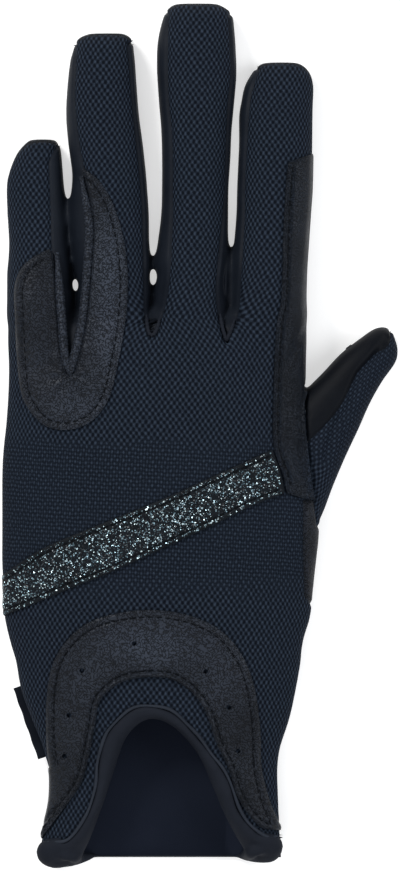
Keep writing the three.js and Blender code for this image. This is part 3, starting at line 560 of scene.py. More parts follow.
# %% [markdown]
# ## The cuff's notch
# The back of the cuff is cut away in an arch, so that the hand goes in. A soft roll binds its edge. The roll's
# outer lip and inner edge were read off the photograph, and the cloth of the back ends under it.
# %% Lines of the notch and the hem
LIP = [(-41.8, -107.9), (-34.9, -106.8), (-29.9, -100.2), (-27.5, -93.0), (-26.7, -85.4), (-24.9, -79.3),
       (-22.2, -75.6), (-17.7, -71.9), (-13.0, -71.1), (-6.4, -73.4), (-0.8, -79.3), (3.7, -84.8),
       (7.9, -91.4), (10.1, -98.6), (14.0, -103.6), (18.0, -106.3), (22.0, -105.2)]
ROLL_INSIDE = [(-31.5, -112.4), (-28.8, -106.3), (-25.4, -97.0), (-22.2, -87.5), (-19.1, -79.3),
               (-13.8, -74.9), (-7.4, -76.6), (-0.8, -83.8), (2.9, -92.0), (6.9, -101.2), (11.9, -110.5)]
HEM = -111.5
CLOTH_END = 0.4  # the cloth of the back ends this far from the lip to the roll's inner edge

lip, roll_inside = (evenly(through(line, 6), count=160) for line in (LIP, ROLL_INSIDE))
cloth_end = ((1 - CLOTH_END) * lip + CLOTH_END * roll_inside)[6:-6]
NOTCH = np.vstack([[(-60, -109.3), (-40, -109.3)], cloth_end,
                   [(20, -107.4), (45, -107.4), (45, -140), (-60, -140)]])
print("notch", round(float(lip[:, 1].max() - HEM), 1), "mm deep")

# %% [markdown]
# ## Cutting the soft form into its panels
# The form is split along every seam. Close to a seam the mesh is made finer, and then the cloth is drawn in
# there, as the thread pulls it. Between two fingers the cloth sinks to the bottom of its slit.
# %% Split the form along its seams
THINNED = 0.45  # share of the triangles that the panels keep; the patches below need them all
FAR = 9  # stands for "no seam near here"
FINE_STEP, FINE_REACH = 0.42, 1.3  # longest edge of a triangle near a seam, and how near that is
THUMB_OUTER = [(52.0, 34), *through(THUMB_SEAM, 3), (25, -5), (22, -45), (75, -45), (75, 40)]
PANELS = ["back", "palm", *STRIP_REGIONS, "thumb_front", "thumb_back"]
in_strips = lambda p: np.max([inside(p, region) for region in STRIP_REGIONS.values()], 0)
SEAM_FIELDS = [
    lambda p: inside(p, BACK_PANEL),
    lambda p: p[:, 2] - SIDE_SEAM,
    lambda p: np.where(in_strips(p) > 0, p[:, 2] - STRIP_FOOT, FAR),
    lambda p: np.where(p[:, 2] < SIDE_SEAM + 1, in_strips(p), FAR),
    lambda p: inside(p, THUMB_REGION),
    lambda p: np.where(inside(p, THUMB_REGION) > -1, inside(p, THUMB_OUTER), FAR),
    lambda p: np.where(p[:, 2] > SIDE_SEAM - 1, inside(p, NOTCH), FAR),
    lambda p: p[:, 1] - HEM,
]
points, faces = modified(form_points, form_faces.tolist(), "DECIMATE", ratio=THINNED)
points = off_floor(points)
print("thinned to", len(faces), "triangles")
for seam_field in SEAM_FIELDS:
    points, faces = cut(points, faces, seam_field)


def panel_of(points, faces):
    """The number of each face's panel, or -1 for what the notch and the hem cut away."""
    middle = points[faces].mean(1)
    number = np.full(len(faces), PANELS.index("palm"))
    for name, region in STRIP_REGIONS.items():
        number[(inside(middle, region) > 0) & (middle[:, 2] > STRIP_FOOT)] = PANELS.index(name)
    number[(inside(middle, BACK_PANEL) > 0) & (middle[:, 2] > SIDE_SEAM)] = PANELS.index("back")
    thumb, outer = inside(middle, THUMB_REGION) > 0, inside(middle, THUMB_OUTER) > 0
    number[thumb & ~outer] = PANELS.index("thumb_front")
    number[thumb & outer] = PANELS.index("thumb_back")
    number[(inside(middle, NOTCH) > 0) & (middle[:, 2] > SIDE_SEAM)] = -1
    number[middle[:, 1] < HEM] = -1
    return number


def seam_corners(points, faces, number):
    """Corners where two panels meet."""
    low, high = np.full(len(points), 99), np.full(len(points), -99)
    for k in range(3):
        np.minimum.at(low, faces[:, k], number)
        np.maximum.at(high, faces[:, k], number)
    return np.flatnonzero((low != high) & (low >= 0))


def near(places, corners):
    """Distance from each place to the nearest of some corners."""
    tree = KDTree(len(corners))
    for i, corner in enumerate(corners):
        tree.insert(corner, i)
    tree.balance()
    return np.array([tree.find(p)[2] for p in places])


number = panel_of(points, faces)
seams = points[seam_corners(points, faces, number)]
close_to_seam = lambda m: (near(m, seams) < FINE_REACH) | (to_line(m, lip) < FINE_REACH + 0.1)
points, faces = finer(points, faces, FINE_STEP, close_to_seam)
number = panel_of(points, faces)
print("panels:", {name: int((number == i).sum()) for i, name in enumerate(PANELS)})

# %% Draw the cloth in at its seams and down into the slits
# Foot of each slit, and how deep the slit sinks.
SLITS = [((-34.5, 17.1), 2.2), ((-12.7, 26.2), 1.7), ((7.0, 25.1), 1.7)]
SLIT_HALF, SLIT_BANK = 7, 1.2  # half the width looked at, and the width of the bank down to the floor
SEAM_PULL, SEAM_REACH = 0.45, 0.6  # how deep a seam's thread draws the cloth in, and how far that reaches
# Creases at the slits' feet, the fold in the thumb and the groove along the lip: line, depth and width.
FOLDS = [
    (through([(-13.2, 37), (-13.4, 31.4), (-13.3, 27.5)], 4), 1.3, 0.5),
    (through([(6.9, 48), (6.1, 39.8), (7.1, 35.1), (6, 29.5), (7, 25)], 4), 1.3, 0.5),
    (through([(49.5, 26), (45.6, 20.2), (42.4, 16), (39.4, 8.5), (35.6, 2.6), (33, -6)], 4), 1.1, 1.3),
    (beside(lip, -0.45), 0.7, 0.45),
]
skin_normals = normals_of(points, faces)
seam_distance = near(points, points[seam_corners(points, faces, number)])
on_top = points[:, 2] > SIDE_SEAM
sink = np.zeros(len(points))
outside_back = np.maximum(-inside(points, BACK_PANEL), 0)
for (x, y), deep in SLITS:
    close = (np.abs(points[:, 0] - x) < SLIT_HALF) & on_top
    fade = smoothstep(points[:, 1], y - 1, y + 2) * (1 - smoothstep(points[:, 1], 38, 48))
    sink += np.where(close, deep * (1 - np.exp(-outside_back / SLIT_BANK)) * fade, 0)
for line, deep, wide in FOLDS:
    sink += deep * bell(to_line(points, line), wide) * on_top
sink *= np.clip(skin_normals[:, 2] * 1.5, 0, 1)  # only where the cloth faces up
points = points - skin_normals * (SEAM_PULL * bell(seam_distance, SEAM_REACH))[:, None]
points[:, 2] -= sink
points = off_floor(points)
print("seams drawn in; deepest slit", round(float(sink.max()), 1), "mm")

# %% [markdown]
# ## Knitted mesh
# The back is a coarse mesh: pale loops stand in staggered rows on dark ground. The pattern reads its place
# from an attribute kept on each corner, measured round the hand, so that it turns down over the sides with
# the cloth and doesn't smear there.
# %% Where the knit's pattern lies on the form
HAND_MIDDLE, ROOTS = -11.0, 22  # middle of the hand, and the place along it where the fingers start
THUMB_TOP = 14  # height of the thumb's top


def round_side(across, fall):
    """How much further a place lies when it is measured down over the side and not straight across."""
    return np.tanh(across / 3) * np.maximum(fall, 0)


def weave_place(p):
    """Place round the hand and along it: across the top, then down over the sides."""
    down = lambda middle, thick: round_side(p[:, 0] - middle, thick - p[:, 2])
    on_hand = down(HAND_MIDDLE, hand_thickness(np.minimum(p[:, 1], ROOTS)))
    on_finger = np.zeros(len(p))
    for name, rows in FINGERS.items():
        table = np.array(rows)[::-1]
        left, right = (np.interp(p[:, 1], table[:, 0], table[:, k]) for k in (1, 2))
        close = (p[:, 0] > left - 1.5) & (p[:, 0] < right + 1.5)
        thick = finger_thickness(name, rows)(p[:, 1])
        on_finger = np.where(close, down((left + right) / 2, thick), on_finger)
    share = smoothstep(p[:, 1], 28, 46)
    return np.column_stack([p[:, 0] + on_hand * (1 - share) + on_finger * share, p[:, 1], np.zeros(len(p))])


def thumb_weave_place(p):
    plan = p[:, :2] - THUMB_TIP
    across, along = plan @ thumb_across, plan @ thumb_along
    return np.column_stack([across + round_side(across, THUMB_TOP - p[:, 2]), along, np.zeros(len(p))])


# %% Knitted mesh, leather, smooth cloth and the rest
KNIT_ACROSS, KNIT_ALONG = 1.6, 2.1  # distance from loop to loop
KNIT_SLANT = 0.05  # how much the rows of loops lean
DENSE_TOP, DENSE_FOOT = -2, -40  # between these places the knit shows twice as many loops
DENSE_SHARE = 0.55  # how strongly it shows them


def knit_finish():
    look = Finish("knitted_mesh", Roughness=0.8, Specular_IOR_Level=0.04)
    place = look.add("Attribute", attribute_name="weave").outputs["Vector"]
    apart = look.add("SeparateXYZ", {"Vector": place})
    x, y = apart.outputs["X"], apart.outputs["Y"]
    wander = look.spread(look.noise(place, 0.3, 3), 0, 1, -1.3, 1.3)
    slant = look.plus(look.times(y, -KNIT_SLANT), x)
    rise = look.plus(look.times(x, KNIT_SLANT), y)
    turn_x = look.plus(look.times(slant, 2 * math.pi / KNIT_ACROSS), wander)
    turn_y = look.plus(look.times(rise, 2 * math.pi / KNIT_ALONG), wander)
    wave = lambda turn, often: look.math("COSINE", look.times(turn, often))
    loops = look.spread(look.times(wave(turn_x, 1), wave(turn_y, 1)), -0.6, 0.9, 0, 1)
    small = look.spread(look.plus(wave(turn_x, 2), wave(turn_y, 2)), -0.8, 1.8, 0, 1)
    ragged = look.plus(y, look.spread(look.noise(place, 0.12, 3), 0, 1, -7, 7))
    from_top = look.spread(ragged, DENSE_TOP + 1.5, DENSE_TOP - 1.5, 0, 1)
    from_foot = look.spread(ragged, DENSE_FOOT - 3, DENSE_FOOT + 3, 0, 1)
    dense = look.times(look.times(from_top, from_foot), DENSE_SHARE)
    pattern = look.plus(look.times(loops, look.math("SUBTRACT", 1.0, dense)), look.times(small, dense))
    speck = look.noise(place, 1.3, 2)
    fibre = look.noise(place, 4.0, 2)
    light = look.times(look.spread(speck, 0.3, 0.7, 0.5, 1.35), look.spread(fibre, 0.3, 0.7, 0.75, 1.25))
    shade = look.times(look.math("POWER", pattern, 1.25), light, clamp=True)
    deep = look.mix(look.noise(place, 0.05, 3), (0.0018, 0.0028, 0.0052), (0.0032, 0.0048, 0.0085))
    colour = look.mix(shade, deep, (0.0235, 0.0335, 0.051))
    height = look.plus(pattern, look.times(fibre, 0.4))
    return look.done(colour, normal=look.bump(height, 0.25, 0.7))


def leather_finish(name, dark, light, grain, rough=0.5):
    """Grained leather: the noise's middle line makes a maze of folds, painted darker in their creases as
    painted shade, and places with a painted sheen are lighter.
    """
    look = Finish(name, Roughness=rough, Specular_IOR_Level=0.14)
    where = look.add("TexCoord").outputs["Object"]
    painted_sheen = look.add("Attribute", attribute_name="painted_sheen").outputs["Fac"]
    lumps = look.noise(where, 1 / (grain * MM), 2, 0.4)
    maze = look.spread(look.math("ABSOLUTE", look.math("SUBTRACT", lumps, 0.5)), 0.0, 0.08, 0, 1)
    fine = look.noise(where, 2600, 3)
    broad = look.spread(look.noise(where, 90, 4, 0.6), 0.3, 0.7, 0, 1)
    base = look.mix(broad, dark, light)
    # Painted sheen: the leather is painted lighter where the sheen attribute is set.
    sheened = look.mix(painted_sheen, base, tuple(v * 2.4 for v in light))
    # The folds of the grain are painted darker: painted shade in the creases.
    colour = look.mix(look.spread(maze, 0, 1, 1, 0), sheened, tuple(v * 0.35 for v in dark))
    height = look.plus(maze, look.times(fine, 0.35))
    gloss = look.spread(look.plus(broad, fine), 0.3, 1.4, rough + 0.1, rough - 0.08)
    return look.done(colour, gloss, look.bump(height, 0.2, 1.0))


def cloth_finish(name, dark, light, rough=0.75, specular=0.06):
    look = Finish(name, Roughness=rough, Specular_IOR_Level=specular)
    where = look.add("TexCoord").outputs["Object"]
    fine = look.noise(where, 3200, 2)
    broad = look.spread(look.noise(where, 110, 4, 0.6), 0.3, 0.7, 0, 1)
    share = look.times(look.plus(broad, fine), 0.5, clamp=True)
    return look.done(look.mix(share, dark, light), normal=look.bump(fine, 0.08, 0.7))


knit = knit_finish()
# Each finish has a dark and a light shade. A leather then has the size of its grain, a cloth how dull it is.
leather = leather_finish("patch_leather", (0.0068, 0.009, 0.0135), (0.014, 0.0175, 0.025), 0.8)
smooth_leather = leather_finish("smooth_leather", (0.003, 0.0052, 0.0096), (0.0066, 0.0105, 0.0182), 0.5)
palm_leather = leather_finish("palm_leather", (0.0038, 0.0054, 0.0092), (0.009, 0.0118, 0.0182), 0.9, 0.55)
strip_cloth = cloth_finish("strip_leather", (0.004, 0.0055, 0.009), (0.0095, 0.0125, 0.0185), 0.55, 0.07)
thumb_cloth = cloth_finish("thumb_leather", (0.0015, 0.0021, 0.0036), (0.0036, 0.0048, 0.0074), 0.55, 0.07)
lining = cloth_finish("palm_inside", (0.0088, 0.0112, 0.019), (0.0102, 0.013, 0.0215), 0.9, 0.02)
binding_cloth = cloth_finish("binding_cloth", (0.0068, 0.0084, 0.0128), (0.0125, 0.015, 0.0215), 0.7)
# The lip is painted in a lighter copy of the binding's cloth: a painted highlight on its raised edge.
lip_cloth_highlight = cloth_finish("lip_cloth_highlight", (0.011, 0.014, 0.02), (0.025, 0.03, 0.041), 0.7)
ribbon_cloth = cloth_finish("ribbon_cloth", (0.003, 0.004, 0.007), (0.006, 0.0085, 0.013), 0.7)
band_cloth = cloth_finish("band_cloth", (0.002, 0.0028, 0.004), (0.009, 0.012, 0.016), 0.6)
thread = cloth_finish("dark_thread", (0.0012, 0.0016, 0.0024), (0.0035, 0.0045, 0.006), 0.6)
print("finishes ready")

# %% [markdown]
# ## From skins to cloth
# Cloth has a thickness. Each panel's outer skin gets an inner one further in, and a rim joins the two, so
# that the piece is one closed body. Its edge is drawn a hair's breadth inside the seam.
# %% Walls and objects
WALL = 1.0  # thickness of a panel
SEAM_CLEAR = 0.02  # how far a panel's edge stays inside its seam


def walled(points, faces, under=None, clear=SEAM_CLEAR):
    """A closed wall under a skin: corners, faces, which faces lie inside, and which edges are sharp."""
    directed = faces[:, [0, 1, 1, 2, 2, 0]].reshape(-1, 2).astype(np.int64)
    forward = directed[:, 0] * len(points) + directed[:, 1]
    rim = directed[~np.isin(forward, directed[:, 1] * len(points) + directed[:, 0])]
    middle = points[faces].mean(1)
    pull, on_rim = np.zeros_like(points), np.zeros(len(points), bool)
    on_rim[rim.ravel()] = True
    for k in range(3):
        touched = on_rim[faces[:, k]]
        np.add.at(pull, faces[touched, k], middle[touched] - points[faces[touched, k]])
    outer = points + unit(pull) * clear
    count = len(points)
    corners = np.vstack([outer, outer - normals_of(points, faces) * WALL if under is None else under])
    inner = faces[:, ::-1] + count
    a, b = rim[:, 0], rim[:, 1]
    sides = np.vstack([np.stack([b, a, a + count], 1), np.stack([b, a + count, b + count], 1)])
    return corners, np.vstack([faces, inner, sides]), (len(faces), len(faces) * 2), rim


def piece(name, corners, faces, *materials, slot, node=None, inner=None, sharp=(), weave=None, painted_sheen=None):
    """A finished piece of the glove from millimetre corners: it rides on the one body and has its finish."""
    mesh = bpy.data.meshes.new(name)
    mesh.from_pydata((np.asarray(corners) * MM).tolist(), [], [tuple(f) for f in faces])
    for material in materials:
        mesh.materials.append(material)
    if inner:
        number = np.zeros(len(faces), int)
        number[inner[0]:inner[1]] = len(materials) - 1
        mesh.polygons.foreach_set("material_index", number)
    mesh.polygons.foreach_set("use_smooth", np.ones(len(faces), bool))
    if len(sharp):
        pairs = np.zeros(len(mesh.edges) * 2, int)
        mesh.edges.foreach_get("vertices", pairs)
        pairs = np.sort(pairs.reshape(-1, 2), 1)
        sharp = np.sort(sharp, 1)
        key = lambda pair: pair[:, 0] * len(corners) + pair[:, 1]
        marks = np.isin(key(pairs), key(sharp))
        mesh.attributes.new("sharp_edge", "BOOLEAN", "EDGE").data.foreach_set("value", marks)
    if weave is not None:
        mesh.attributes.new("weave", "FLOAT_VECTOR", "POINT").data.foreach_set("vector", weave.ravel())
    if painted_sheen is not None:
        mesh.attributes.new("painted_sheen", "FLOAT", "POINT").data.foreach_set("value", painted_sheen)
    keep(name, mesh, slot, node)


def keep(name, mesh, slot, node=None):
    """Sets a finished mesh out as a piece of the glove, in place of the plain model's node if it has one."""
    made = set_out(name, mesh)
    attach(made, "root")
    if node:
        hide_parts(node)
    mesh.calc_loop_triangles()
    print(name, len(mesh.loop_triangles), "triangles")


# %% The seven panels
PANEL_FINISH = {
    "back": (knit, None, "mesh_knit"), "palm": (palm_leather, lining, "leather"),
    "strip_little_ring": (strip_cloth, None, "strip_leather"),
    "strip_ring_middle": (strip_cloth, None, "strip_leather"),
    "strip_middle_index": (strip_cloth, None, "strip_leather"),
    "thumb_front": (thumb_cloth, None, "strip_leather"), "thumb_back": (knit, None, "mesh_knit"),
}
for i, name in enumerate(PANELS):
    skin_points, skin_faces, _ = only(points, faces, number == i)
    corners, walls, inner, rim = walled(skin_points, skin_faces)
    outside, inside_finish, slot = PANEL_FINISH[name]
    place = (thumb_weave_place if name == "thumb_back" else weave_place)(corners)
    piece(f"glove_{name}", corners, walls, *([outside, inside_finish] if inside_finish else [outside]),
          inner=inner, sharp=rim, node=name, slot=slot, weave=place if outside is knit else None)

# %% [markdown]
# ## Pieces sewn on top
# A patch is a copy of the form's skin inside its outline, lifted by its own thickness. Its rim is rounded,
# and a row of stitches near the rim pulls a groove into the leather.
# %% Patches
PATCH_THICK, PATCH_STEP = 0.95, 0.47  # thickness, and the longest edge of a triangle
RIM_ROUND, RIM_WIDE = 0.35, 0.4  # how far the rim is rounded down, and how wide that is
form_normals = normals_of(form_points, form_faces)


def patch_skin(outline, holes):
    """The form's upper skin inside an outline: corners, faces, normals and distance to the edge."""
    reach = inside(form_points, outline) > -2
    keep = reach[form_faces].any(1) & (form_points[form_faces, 2].min(1) > 4)
    p, f, used = only(form_points, form_faces, keep)
    both = np.hstack([p, form_normals[used]])
    both, f = cut(both, f, lambda q: inside(q, outline))
    f = f[(inside(both[f].mean(1), outline) > 0) & (both[f, 5].mean(1) > -0.2)]
    for _ in range(2):
        both, f = finer(both, f, PATCH_STEP)
    for x, y, radius in holes:
        away = lambda q: np.hypot(q[:, 0] - x, q[:, 1] - y) - radius
        both, f = cut(both, f, away)
        f = f[away(both[f].mean(1)) > 0]
    both, f, _ = only(both, f, np.ones(len(f), bool))
    return both[:, :3], f, unit(both[:, 3:]), np.abs(inside(both, outline))


def patch(name, outline, finish, slot, shape, holes=(), sheened=()):
    """Lifts a patch off the form, shapes its top and gives it a wall. Returns its top, for the stitches."""
    p, f, n, edge = patch_skin(outline, holes)
    lift = PATCH_THICK - RIM_ROUND * bell(edge, RIM_WIDE) + shape(p)
    lift *= np.clip(n[:, 2] * 1.6, 0.4, 1)
    top = p + n * lift[:, None]
    under = p + n * np.minimum(0.04, lift - 0.25)[:, None]
    corners, walls, inner, rim = walled(top, f, under, 0)
    # A painted sheen: the leather is painted lighter at these places.
    painted_sheen = np.zeros(len(corners))
    for x, y, wide, high, much in sheened:
        painted_sheen += much * bell(corners[:, 0] - x, wide) * bell(corners[:, 1] - y, high)
    piece(f"glove_{name}", corners, walls, finish, sharp=rim, node=name, slot=slot, painted_sheen=painted_sheen)
    return top, f


def dip(points, line, deep, wide=0.36):
    """A soft groove along a line, or a ridge where deep is below zero."""
    return -deep * bell(to_line(points, line), wide)


def between(path, low, high):
    """The part of a path between two places along the glove."""
    return path[(path[:, 1] >= low) & (path[:, 1] <= high)]


def row_beside(edge, distance, start, end):
    """A row of stitches at a distance from an edge, without its first and last few places."""
    return evenly(beside(edge, distance), 0.5)[start:-end]


thread_rows = []  # each row of stitches, seen from above, with the top it lies on
print("patch helpers ready")

# %% Rein patch over the roots of the little and the ring finger
REIN_EDGE = [(-30.7, 70.8), (-26.5, 67.4), (-23.0, 61.3), (-20.4, 52.8), (-19.3, 44.3), (-19.3, 35.9),
             (-20.1, 27.4), (-21.7, 18.9), (-23.6, 11.0), (-27.0, 5.4), (-31.5, 2.5), (-36.5, 1.7),
             (-41.0, 3.0), (-44.5, 6.5), (-46.8, 11.0), (-47.9, 18.9), (-48.4, 30.0), (-48.7, 38.5),
             (-47.6, 43.0), (-45.0, 46.4), (-40.0, 49.4)]
SLIT_FOOT = (-34.5, 16.1)
rein_edge = through(REIN_EDGE, 5)
rein_slit = np.vstack([between(smooth_seams["little_right"], 16, 49), [SLIT_FOOT],
                       between(smooth_seams["ring_left"], 16, 70.5)[::-1]])
rein_row = row_beside(rein_edge, -1.85, 6, 6)


def rein_shape(p):
    """Small creases round the slit's foot, and the stitch groove."""
    x, y = p[:, 0] - SLIT_FOOT[0], p[:, 1] - SLIT_FOOT[1]
    creases = 0.25 * np.sin(np.arctan2(y, x) * 7) * bell(np.hypot(x, y + 1.5), 4.5)
    return creases + dip(p, rein_slit, 0.35, 0.5) + dip(p, rein_row, 0.42)


# Places with a painted sheen, where the leather is painted lighter as if it caught the light: across, along,
# width, height and how much.
REIN_SHEEN = [(-23.5, 46, 5, 15, 0.75), (-24, 25, 5, 12, 0.6), (-33, 7, 9, 6, 0.55), (-44, 20, 4, 12, 0.2)]
top = patch("rein_patch", np.vstack([rein_edge, rein_slit]), leather, "leather", rein_shape, sheened=REIN_SHEEN)
thread_rows.append((rein_row, top))

# %% Index strip down the thumb's side of the index finger
STRIP_EDGE = [(23.3, 72.4), (22.8, 68.2), (22.0, 54.7), (21.4, 36.7), (20.1, 28.5), (19.3, 13.1),
              (19.3, -2.2), (21.7, -9.9), (22.8, -15.0)]
strip_edge = through(STRIP_EDGE, 6)
strip_row = row_beside(strip_edge, 1.4, 3, 5)
strip_outline = np.vstack([strip_edge, [(26.5, -16.2), (29.9, -16.9), (29.1, -9.9), (28.0, 0.4), (27.5, 8),
                                        (27.4, 13.4), (29, 17), (40, 24), (40, 75.5), (30.2, 75.0)]])


def strip_shape(p):
    """A fold beside the thumb, faint ripples above the band, and the stitch groove."""
    fold = dip(p, THUMB_ROOT, -0.7, 0.8) * (p[:, 1] < 12)
    ripple = 0.12 * np.sin(p[:, 1] * 1.1 + 2 * np.sin(p[:, 0])) * smoothstep(-p[:, 1], -12, 4)
    return fold + ripple + dip(p, strip_row, 0.36, 0.32)


# Painted sheen along the raised fold beside the thumb, and a little below it: across, along, width, height and
# how much.
STRIP_SHEEN = [(29.2, -4, 0.9, 16, 0.7), (25, -8, 3, 7, 0.2)]
top = patch("index_strip", strip_outline, smooth_leather, "leather", strip_shape, sheened=STRIP_SHEEN)
thread_rows.append((strip_row, top))

# %% Glitter band across the back to the index strip
BAND_TOP = [(-56, -39.1), (-50.8, -35.9), (-48.2, -34.0), (-40.2, -29.0), (-24.9, -22.6), (-9.8, -16.5),
            (5.3, -9.7), (16.4, -4.6), (18.9, -3.6)]
BAND_LOW = [(22.2, -15.0), (14.0, -18.1), (5.3, -22.4), (-9.8, -29.5), (-23.8, -35.9), (-33.6, -39.8),
            (-41.8, -43.3), (-51.9, -47.5), (-58, -50.2)]
band_top, band_low = through(BAND_TOP, 5), through(BAND_LOW, 5)
band_outline = np.vstack([band_top, [(20.8, -8.2)], band_low])
band_rows = [row_beside(band_top, -1.35, 8, 3), row_beside(band_low, -1.35, 3, 10)]


def band_shape(p):
    grooves = dip(p, band_rows[0], 0.4, 0.34) + dip(p, band_rows[1], 0.4, 0.34)
    return grooves + 0.06 * np.sin(p[:, 0] * 0.9 + p[:, 1])


band_skin = patch("glitter_band", band_outline, band_cloth, "glitter", band_shape)
thread_rows += [(row, band_skin) for row in band_rows]

# %% Wrist panel, a horseshoe of leather with vent holes
WRIST_EDGE = [(-39.4, -87.5), (-40.2, -82.2), (-40.5, -73.7), (-40.0, -65.5), (-38.4, -59.2), (-34.9, -53.6),
              (-29.4, -49.1), (-22.2, -46.7), (-13.0, -45.7), (-3.4, -47.0), (4.8, -50.7), (10.1, -56.2),
              (13.5, -63.4), (15.1, -71.1), (15.9, -79.3), (16.1, -87.5), (18.0, -95.7), (20.6, -102.3)]
WRIST_INNER = [(-41.6, -106.3), (-36.0, -98.6), (-31.5, -92.0), (-29.4, -84.8), (-27.8, -76.6),
               (-26.7, -70.5), (-23.8, -66.8), (-19.1, -64.2), (-12.4, -63.4), (-6.4, -64.4), (-1.3, -68.4),
               (1.9, -73.7), (4.2, -80.9), (7.4, -87.5), (10.1, -95.7), (15.6, -103.0), (20.6, -104.2)]
VENTS = [(-35.6, -84.4), (-34.5, -73.5), (-31.1, -61.7), (-17.3, -54.5), (1.5, -61.9), (7.6, -71.4),
         (10, -83)]
VENT_RADIUS = 0.65
# Painted sheen on the top of the panel's arch and on each side of it: across, along, width, height and how
# much.
WRIST_SHEEN = [(-13, -55, 14, 7, 0.75), (-31, -66, 7, 9, 0.3), (6, -63, 7, 9, 0.3)]
wrist_edge, wrist_inner = through(WRIST_EDGE, 5), through(WRIST_INNER, 5)
wrist_outline = np.vstack([[(-46, -91.5)], wrist_edge, [(23.5, -104.4)], wrist_inner[::-1], [(-46, -106.8)]])
wrist_rows = [row_beside(wrist_edge, -1.9, 2, 2), row_beside(wrist_inner, 1.6, 6, 6)]


def wrist_shape(p):
    """Both stitch grooves, a wavy raised rim along the inner edge and a dimple round each vent."""
    from_inner = to_line(p, wrist_inner)
    wave = 1 + 0.35 * np.sin(p[:, 1] * 2.1 + p[:, 0] * 1.3)
    rise = dip(p, wrist_rows[0], 0.42) + dip(p, wrist_rows[1], 0.48)
    rise += 0.4 * wave * bell(from_inner - 0.7, 0.5)
    for x, y in VENTS:
        rise -= 0.25 * bell(np.hypot(p[:, 0] - x, p[:, 1] - y) - VENT_RADIUS, 0.5)
    return rise


vent_holes = [(x, y, VENT_RADIUS) for x, y in VENTS]
top = patch("wrist_panel", wrist_outline, leather, "leather", wrist_shape, vent_holes, WRIST_SHEEN)
thread_rows += [(row, top) for row in wrist_rows]

# %% [markdown]
# ## The soft roll round the cuff
# A strip of cloth is folded over the raw edge and turned in, so it shows as a soft roll: it starts at a thin
# lip on the outside, rises and sinks into the opening. At the two lower corners it doubles up into a lobe.
# The roll, its lobes and the slim hem are swept one by one and then skinned together as one cloth.
# %% Sweeps
ABOVE_ALL = 60  # a height above every piece


def tube(path, radii, sides=14):
    """A closed round tube along a path, with a radius for each point."""
    path = np.asarray(path, float)
    turn = np.linspace(0, 2 * math.pi, sides, endpoint=False)[:, None]
    rings, side = [], np.array([0.3, 0.5, 1.0])
    for place, along, radius in zip(path, unit(np.gradient(path, axis=0)), radii):
        side = unit(side - along * (side @ along))
        rings.append(place + radius * (np.cos(turn) * side + np.sin(turn) * np.cross(along, side)))
    return loft(rings)


def height_over(top_points, top_faces, places, missing):
    """Height of a top at each place, looked up straight from above, or else the number for a missing one."""
    tree = BVHTree.FromPolygons([Vector(v) for v in top_points], top_faces.tolist())
    hits = [tree.ray_cast(Vector((x, y, ABOVE_ALL)), Vector((0, 0, -1)))[0] for x, y in places]
    return np.array([missing if hit is None else hit.z for hit in hits])


# %% Roll, lobes and hem as one cloth
# Section of the roll: share of the way from the lip to the inner edge, and height above the cloth.
ROLL = np.array([(0, -0.7), (0.0, 0.35), (0.07, 0.75), (0.22, 1.0), (0.42, 1.0), (0.62, 0.6), (0.8, -0.2),
                 (0.93, -1.2), (1.0, -2.3), (0.93, -3.0), (0.8, -2.6), (0.6, -1.7), (0.4, -1.2), (0.2, -1.0)])
ROLL_VOXEL, ROLL_ROUNDS = 0.38, 14
CORNER_RADIUS, HEM_RADIUS = 1.7, 0.7
lip_height = rolling(height_over(form_points, form_faces, lip + (roll_inside - lip) * 0.15, FAR), 6)
roll_rings = []
for edge, within, height in list(zip(lip, roll_inside, lip_height))[1:-1]:
    plan = edge + ROLL[:, :1] * (within - edge)
    roll_rings.append(np.column_stack([plan, height + ROLL[:, 1]]))
LEFT_LOBE = [(-28.5, -111.4, 1.4), (-33.0, -111.9, 3.2), (-37.2, -111.5, 5.6), (-39.9, -110.6, 7.4),
             (-39.6, -108.9, 9.6), (-36, -107.2, 10.6)]
RIGHT_LOBE = [(10.5, -111.4, 1.4), (14.5, -111.2, 3.4), (17.6, -110.3, 5.6), (18.9, -108.9, 7.4),
              (18.3, -107.3, 9.6), (15, -106, 10.6)]
LOBE_SIZE = [(0, 0.9), (0.2, 2.0), (0.45, 3.3), (0.7, 3.3), (1, 1.6)]
left_lobe, right_lobe = through(LEFT_LOBE, 5), through(RIGHT_LOBE, 5)
lobe_size = np.interp(np.linspace(0, 1, len(left_lobe)), *zip(*LOBE_SIZE))
LEFT_CORNER = [(-41, -108.9, 8.4), (-37.4, -110.0, 9.5), (-34, -111.0, 9.4), (-33.2, -111.3, 7.6),
               (-32.6, -111.4, 4.4), (-32.2, -111.2, 1.4)]
RIGHT_CORNER = [(19.2, -108.3, 8.4), (16.4, -109.0, 9.5), (13.8, -109.9, 9.4), (13.4, -110.4, 7.6),
                (12.8, -110.8, 4.4), (12.4, -111, 1.4)]
cuff_corners = [tube(through(line, 5), np.full(26, CORNER_RADIUS)) for line in (LEFT_CORNER, RIGHT_CORNER)]
hem = np.column_stack([np.linspace(-30, 12, 40), np.full(40, HEM + 0.2), np.full(40, 0.75)])
sweeps = [loft(roll_rings), tube(left_lobe, lobe_size), tube(right_lobe, lobe_size * 0.95),
          tube(hem, np.full(40, HEM_RADIUS)), *cuff_corners]
roll_points, roll_faces = skinned(sweeps, ROLL_VOXEL)
roll_points = off_floor(calmed(roll_points, roll_faces, ROLL_ROUNDS))
piece("glove_cuff_binding", roll_points, roll_faces, binding_cloth, node="cuff_binding", slot="binding_cloth")

